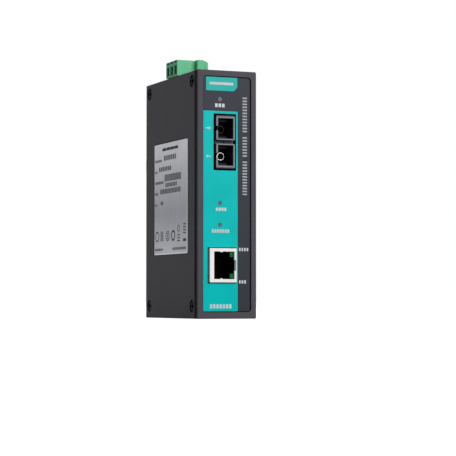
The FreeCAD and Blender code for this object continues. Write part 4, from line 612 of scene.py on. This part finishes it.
def all_finishes():
    """One finish for each of the part's material slots, and the four inks, by name.

    Each row gives the function that makes the finish, and what that function takes after the name.
    """
    table = {
        "case": (cover_plastic, srgb(81, 79, 85), 0.6, 0.045),
        "bezel": (shell_plastic, srgb(78, 76, 82), 0.58, 0.06),
        # the overlay's pairs run from top to foot, the top paler as painted light; its last colour is the
        # painted shade of the sheet's rim
        "overlay": (printed_sheet, (srgb(67, 68, 76), srgb(57, 60, 66)),
                    (srgb(34, 193, 190), srgb(0, 190, 188)), srgb(56, 182, 174),
                    shade(srgb(60, 62, 68), 0.3)),
        # the label's top, middle and foot colours are a painted reflection, and its last colour the
        # painted highlight on its edges
        "label": (metallised_label, srgb(184, 184, 190), srgb(128, 131, 137),
                  srgb(166, 168, 174), srgb(196, 198, 202)),
        "black_screw": (grained_plastic, srgb(11, 11, 13), 0.45, 0.04, 2500.0, 0.008 * MM, 0.2),
        # the fibre body's last colour is the black painted shade inside the ports
        "fibre_body": (port_plastic, srgb(124, 128, 136), srgb(58, 66, 80), srgb(9, 9, 11)),
        "dark_barrel": (smooth_plastic, srgb(12, 12, 14), 0.4, 0.2),
        # the bright barrel's dark colour is painted shade
        "bright_barrel": (ringed_sleeve, "tx_barrel", srgb(226, 226, 222), srgb(6, 6, 7),
                          BORE_RADIUS),
        "hook_plastic": (smooth_plastic, srgb(12, 12, 14), 0.45, 0.15),
        "jack_shell": (smooth_plastic, srgb(238, 236, 231), 0.42, 0.16),
        # the jack's liner is a black insert, whose black also stands in for the shade inside the jack
        "jack_liner": (smooth_plastic, srgb(8, 8, 10), 0.5, 0.1),
        "gilt": (worked_metal, srgb(150, 122, 66), 0.3, UP_LINES),
        # the green light's second colour is painted shade behind its tip
        "green_light": (tipped_light, "upper_jack_light", srgb(26, 92, 50), srgb(5, 12, 8)),
        "clear_pipe": (clear_plastic, srgb(56, 70, 82), 0.05, 0.4),
        "lamp": (clear_plastic, srgb(150, 205, 150), 0.7, 0.18),
        "board": (circuit_board, srgb(22, 96, 58), srgb(34, 122, 74)),
        "plain_screw": (worked_metal, srgb(196, 196, 194), 0.28, EVEN),
        "chip_black": (grained_plastic, srgb(34, 34, 36), 0.55, 0.4, 3000.0, 0.012 * MM),
        "can": (worked_metal, srgb(205, 207, 210), 0.3, UP_LINES),
        "ferrite": (grained_plastic, srgb(58, 57, 58), 0.5, 0.45, FINE_GRAIN, 0.02 * MM, 0.15),
        "ceramic": (grained_plastic, srgb(176, 148, 108), 0.45, 0.45, 1800.0, 0.01 * MM, 0.15),
        # the terminal's second colour is painted shade
        "terminal_green": (terminal_plastic, srgb(112, 196, 150), srgb(8, 22, 13)),
        "tinned": (worked_metal, srgb(206, 207, 205), 0.3, UP_LINES),
        "clamp_steel": (worked_metal, srgb(190, 190, 186), 0.3, EVEN),
        # the clip's last figure is the share of its painted edge highlight
        "clip": (grained_plastic, srgb(38, 39, 41), 0.5, 0.2, 1300.0, 0.025 * MM, 0.1, 0.5),
        "latch_metal": (worked_metal, srgb(178, 180, 182), 0.34, UP_LINES),
        "spring_wire": (worked_metal, srgb(200, 200, 198), 0.22, EVEN),
        "switch_body": (smooth_plastic, srgb(30, 30, 34), 0.4, 0.4),
        "lever": (smooth_plastic, srgb(232, 232, 228), 0.4, 0.4),
        "pale_ink": (printing_ink, srgb(196, 205, 207)),
        "dark_ink": (printing_ink, srgb(30, 31, 35)),
        "grey_ink": (printing_ink, srgb(96, 98, 104)),
        "scale_ink": (printing_ink, srgb(168, 170, 176)),
    }
    return {name: make(name, *values) for name, (make, *values) in table.items()}


def dress_nodes(finishes):
    """Gives every solid of the part the finish of its slot."""
    for subpart in frame["record"]["subparts"]:
        for slot in NODES[subpart["node"]].material_slots:
            slot.material = finishes[subpart["material_slot"]]


# ---- print: flat shapes in millimetres, with their corners counterclockwise for a reader ----
# On the front sheet, across is X from the part's middle and up is Z. On the label, across runs from
# its rear edge and up from its lower edge.
# Each row of bars: left, low, right, high, number of bars, inked share of each step.
FRONT_WORDS = (
    (-5.9, 99.6, -1.1, 101.3, 3, 0.75),       # over the fibre ports
    (-5.5, 50.7, -0.2, 52.2, 4, 0.75),        # at the upper round window
    (-7.6, 40.4, 1.3, 42.0, 7, 0.75),         # at the lower round window
    (6.3, 31.9, 11.0, 33.4, 4, 0.6),          # beside the jack's upper light
    (6.3, 16.6, 9.8, 18.1, 3, 0.6),           # beside the jack's lower light
    (-8.5, 4.9, 2.4, 6.8, 7, 0.72),           # at the foot
)
FRONT_SCALES = (
    (8.1, 58.4, 10.4, 74.3, 12, 0.5),
    (8.1, 76.6, 10.4, 85.9, 7, 0.5),
    (8.1, 88.2, 10.4, 104.7, 12, 0.5),
)
LABEL_DARK_ROWS = (
    (11.7, 50.9, 33.2, 52.3, 4, 0.93),        # heading
    (15.0, 35.8, 37.1, 39.2, 20, 0.62),       # block of stripes
    (9.4, 6.6, 13.0, 11.4, 3, 0.5),           # between the rings
)
LABEL_GREY_ROWS = (
    (13.9, 46.1, 30.5, 48.6, 7, 0.7),
    (1.7, 45.7, 10.5, 47.0, 6, 0.7),
    (7.2, 41.0, 23.8, 43.2, 7, 0.7),
    (1.7, 40.3, 4.4, 41.5, 2, 0.7),
    (1.7, 34.9, 13.3, 36.2, 8, 0.75),
    (16.0, 33.0, 31.6, 35.0, 8, 0.7),
    (1.7, 29.5, 5.5, 30.8, 3, 0.75),
    (8.9, 29.8, 36.6, 32.2, 14, 0.72),
    (1.7, 24.1, 4.4, 25.2, 2, 0.7),
    (9.4, 24.4, 12.7, 26.3, 2, 0.7),
    (1.7, 1.9, 12.2, 3.1, 8, 0.7),
    (26.0, 1.9, 43.8, 3.2, 13, 0.7),
)
LABEL_GREY_STACKS = (
    (18.0, 7.6, 20.4, 10.4, 3, 0.5),
    (32.4, 6.0, 36.0, 9.4, 3, 0.45),
    (40.4, 9.5, 43.6, 14.4, 4, 0.5),
)
# Each ring: across, up, radius, line width.
LABEL_DARK_RINGS = ((4.6, 9.0, 2.6, 0.6), (26.8, 9.0, 2.7, 0.9))
LABEL_GREY_RINGS = ((19.2, 9.0, 2.6, 0.5), (34.2, 12.2, 1.7, 0.5))
# Each arrow: tail, tip, up, half its head's height.
FRONT_ARROWS = ((-10.5, -8.1, 89.6, 0.8), (-8.1, -10.5, 76.3, 0.8))
# Each plain bar: left, low, right, high.
PATCH_LINE = (-8.6, 110.2, 3.4, 111.4)
LABEL_LINE = (40.2, 5.8, 43.9, 7.1)


def bars(left, low, right, high):
    """Rectangles, from a value or an array for each side, as rows of four corners from the lower left."""
    left, low, right, high = np.broadcast_arrays(left, low, right, high)
    across = np.stack([left, right, right, left], axis=-1)
    up = np.stack([low, low, high, high], axis=-1)
    return np.stack([across, up], axis=-1).reshape(-1, 4, 2)


def bars_across(left, low, right, high, count, fill):
    """Equal upright bars side by side, each fill of a step wide.

    The step is (right - left) / (count - 1 + fill), so that the last bar ends at right.
    """
    step = (right - left) / (count - 1 + fill)
    starts = left + step * np.arange(count)
    return bars(starts, low, starts + fill * step, high)


def bars_up(left, low, right, high, count, fill):
    """Equal level bars above each other, as on a scale, each fill of a step high.

    The step is (high - low) / (count - 1 + fill), so that the last bar ends at high.
    """
    step = (high - low) / (count - 1 + fill)
    starts = low + step * np.arange(count)
    return bars(left, starts, right, starts + fill * step)


def ring(across, up, radius, width, steps=32):
    """A plain circle drawn with a line of that width, as rows of four corners.

    Piece i lies between the angles 2 pi i / steps and 2 pi (i + 1) / steps, from radius - width out
    to radius.
    """
    angle = np.linspace(0.0, 2 * math.pi, steps + 1)
    rim = np.stack([np.cos(angle), np.sin(angle)], axis=-1)
    start, end = rim[:-1], rim[1:]
    inner = radius - width
    corners = np.stack([inner * start, radius * start, radius * end, inner * end], axis=1)
    return corners + (across, up)


def arrow(tail, tip, up, half):
    """An arrow from tail to tip, along the reading direction or against it, as one row of seven corners.

    Its head is 2 half high and 1.2 half long, and its shaft is 0.6 half thick.
    """
    side = 1 if tip > tail else -1
    neck = tip - side * 1.2 * half
    thin = 0.3 * half
    across = np.array([tail, neck, neck, tip, neck, neck, tail])
    rise = np.array([-thin, -thin, -half, 0.0, half, thin, thin])
    return np.stack([across, up + rise], axis=-1)[None, ::side]


def drawn(draw, rows):
    """All that one drawing function makes of several rows of figures."""
    return np.concatenate([draw(*row) for row in rows])


def ink(name, groups, to_place, finish):
    """One flat mesh of groups of outlines, laid on the housing by to_place.

    The outlines of one group have the same number of corners.
    """
    faces = []
    first = 0
    for group in groups:
        count, corners = group.shape[:2]
        faces += (first + np.arange(count * corners).reshape(count, corners)).tolist()
        first += count * corners
    across, up = np.concatenate([group.reshape(-1, 2) for group in groups]).T * MM
    mesh = bpy.data.meshes.new(name)
    mesh.from_pydata(to_place(across, up).tolist(), [], faces)
    mesh.materials.append(finish)
    marks = bpy.data.objects.new(name, mesh)
    bpy.context.scene.collection.objects.link(marks)
    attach(marks, "housing")


def on_sheet(across, up):
    """Places on the front sheet, INK_GAP in front of its face."""
    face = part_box("front_overlay")[0][1]
    return np.stack([across, np.full_like(across, face - INK_GAP), up], axis=-1)


def on_label(across, up):
    """Places on the side label, INK_GAP outside its face."""
    low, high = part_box("side_label")
    return np.stack([np.full_like(across, low[0] - INK_GAP), high[1] - across, low[2] + up], axis=-1)


def front_print(finishes):
    """Pale marks on the sheet: a line on the patch, an arrow for each fibre port, plain bars, scales."""
    marks = [bars(*PATCH_LINE), drawn(arrow, FRONT_ARROWS), drawn(bars_across, FRONT_WORDS)]
    ink("front_marks", marks, on_sheet, finishes["pale_ink"])
    ink("front_scales", [drawn(bars_up, FRONT_SCALES)], on_sheet, finishes["scale_ink"])


def label_print(finishes):
    """Dark and grey marks on the label: rows and stacks of plain bars, stripes and rings."""
    dark = [drawn(bars_across, LABEL_DARK_ROWS), drawn(ring, LABEL_DARK_RINGS), bars(*LABEL_LINE)]
    ink("label_dark_marks", dark, on_label, finishes["dark_ink"])
    grey = [drawn(bars_across, LABEL_GREY_ROWS), drawn(ring, LABEL_GREY_RINGS),
            drawn(bars_up, LABEL_GREY_STACKS)]
    ink("label_grey_marks", grey, on_label, finishes["grey_ink"])


# ---- the latch's spring ----
def spring_points(low, high, middle_y, steps=24, sides=12):
    """Points of a round-wire coil with a closed turn at each end, as rows of rings.

    Over turns t from 0 to N the centre line is (R cos 2 pi t, y0 + R sin 2 pi t, z0 + rise(t)), where
    rise(t) = c min(t, 1) + p clip(t - 1, 0, N - 2) + c max(t - N + 1, 0), with c the closed and p the
    open pitch. Each ring is centre + r (cos a outward + sin a across), where across is the tangent
    times outward.
    """
    closed = 2 * WIRE_RADIUS * SPRING_CLOSE
    start, end = low + WIRE_RADIUS, high - WIRE_RADIUS
    pitch = (end - start - 2 * closed) / (SPRING_TURNS - 2)
    turns = np.linspace(0.0, SPRING_TURNS, int(SPRING_TURNS * steps) + 1)
    rise = closed * np.minimum(turns, 1) + pitch * np.clip(turns - 1, 0, SPRING_TURNS - 2)
    rise += closed * np.maximum(turns - SPRING_TURNS + 1, 0)
    angle = 2 * math.pi * turns
    level = np.zeros_like(turns)
    outward = np.stack([np.cos(angle), np.sin(angle), level], axis=1)
    centre = SPRING_RADIUS * outward + np.stack([level, level + middle_y, start + rise], axis=1)
    tangent = np.gradient(centre, axis=0)
    tangent /= np.linalg.norm(tangent, axis=1, keepdims=True)
    across = np.cross(tangent, outward)
    around = np.linspace(0.0, 2 * math.pi, sides, endpoint=False)[None, :, None]
    rings = np.cos(around) * outward[:, None, :] + np.sin(around) * across[:, None, :]
    return centre[:, None, :] + WIRE_RADIUS * rings


def tube_faces(rows, sides):
    """Four-cornered faces that join each ring to the next, and a flat face across each end.

    Corner s of ring r is point r sides + s, and the corner after it is that of s + 1, round the ring.
    """
    point = np.arange(rows * sides).reshape(rows, sides)
    after = np.roll(point, -1, axis=1)
    walls = np.stack([point[:-1], point[1:], after[1:], after[:-1]], axis=-1).reshape(-1, 4)
    return walls.tolist() + [point[0].tolist(), point[-1, ::-1].tolist()]


def latch_spring(finishes):
    """The coil between the base's seat and the latch's window, closed off at both ends of the wire."""
    low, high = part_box("latch_spring")
    rings = spring_points(low[2], high[2], (low[1] + high[1]) / 2)
    faces = tube_faces(*rings.shape[:2])
    mesh = bpy.data.meshes.new("coil")
    mesh.from_pydata(rings.reshape(-1, 3).tolist(), [], faces)
    mesh.polygons.foreach_set("use_smooth", [True] * (len(faces) - 2) + [False] * 2)
    mesh.materials.append(finishes["spring_wire"])
    coil = bpy.data.objects.new("latch_coil", mesh)
    bpy.context.scene.collection.objects.link(coil)
    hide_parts("latch_spring")
    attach(coil, "housing")
    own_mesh(coil)


bpy.context.scene.view_settings.view_transform = "Standard"
add_camera()
light_world()
for softbox in LAMPS:
    add_softbox(*softbox)
add_floor()
FINISHES = all_finishes()
dress_nodes(FINISHES)
front_print(FINISHES)
label_print(FINISHES)
latch_spring(FINISHES)
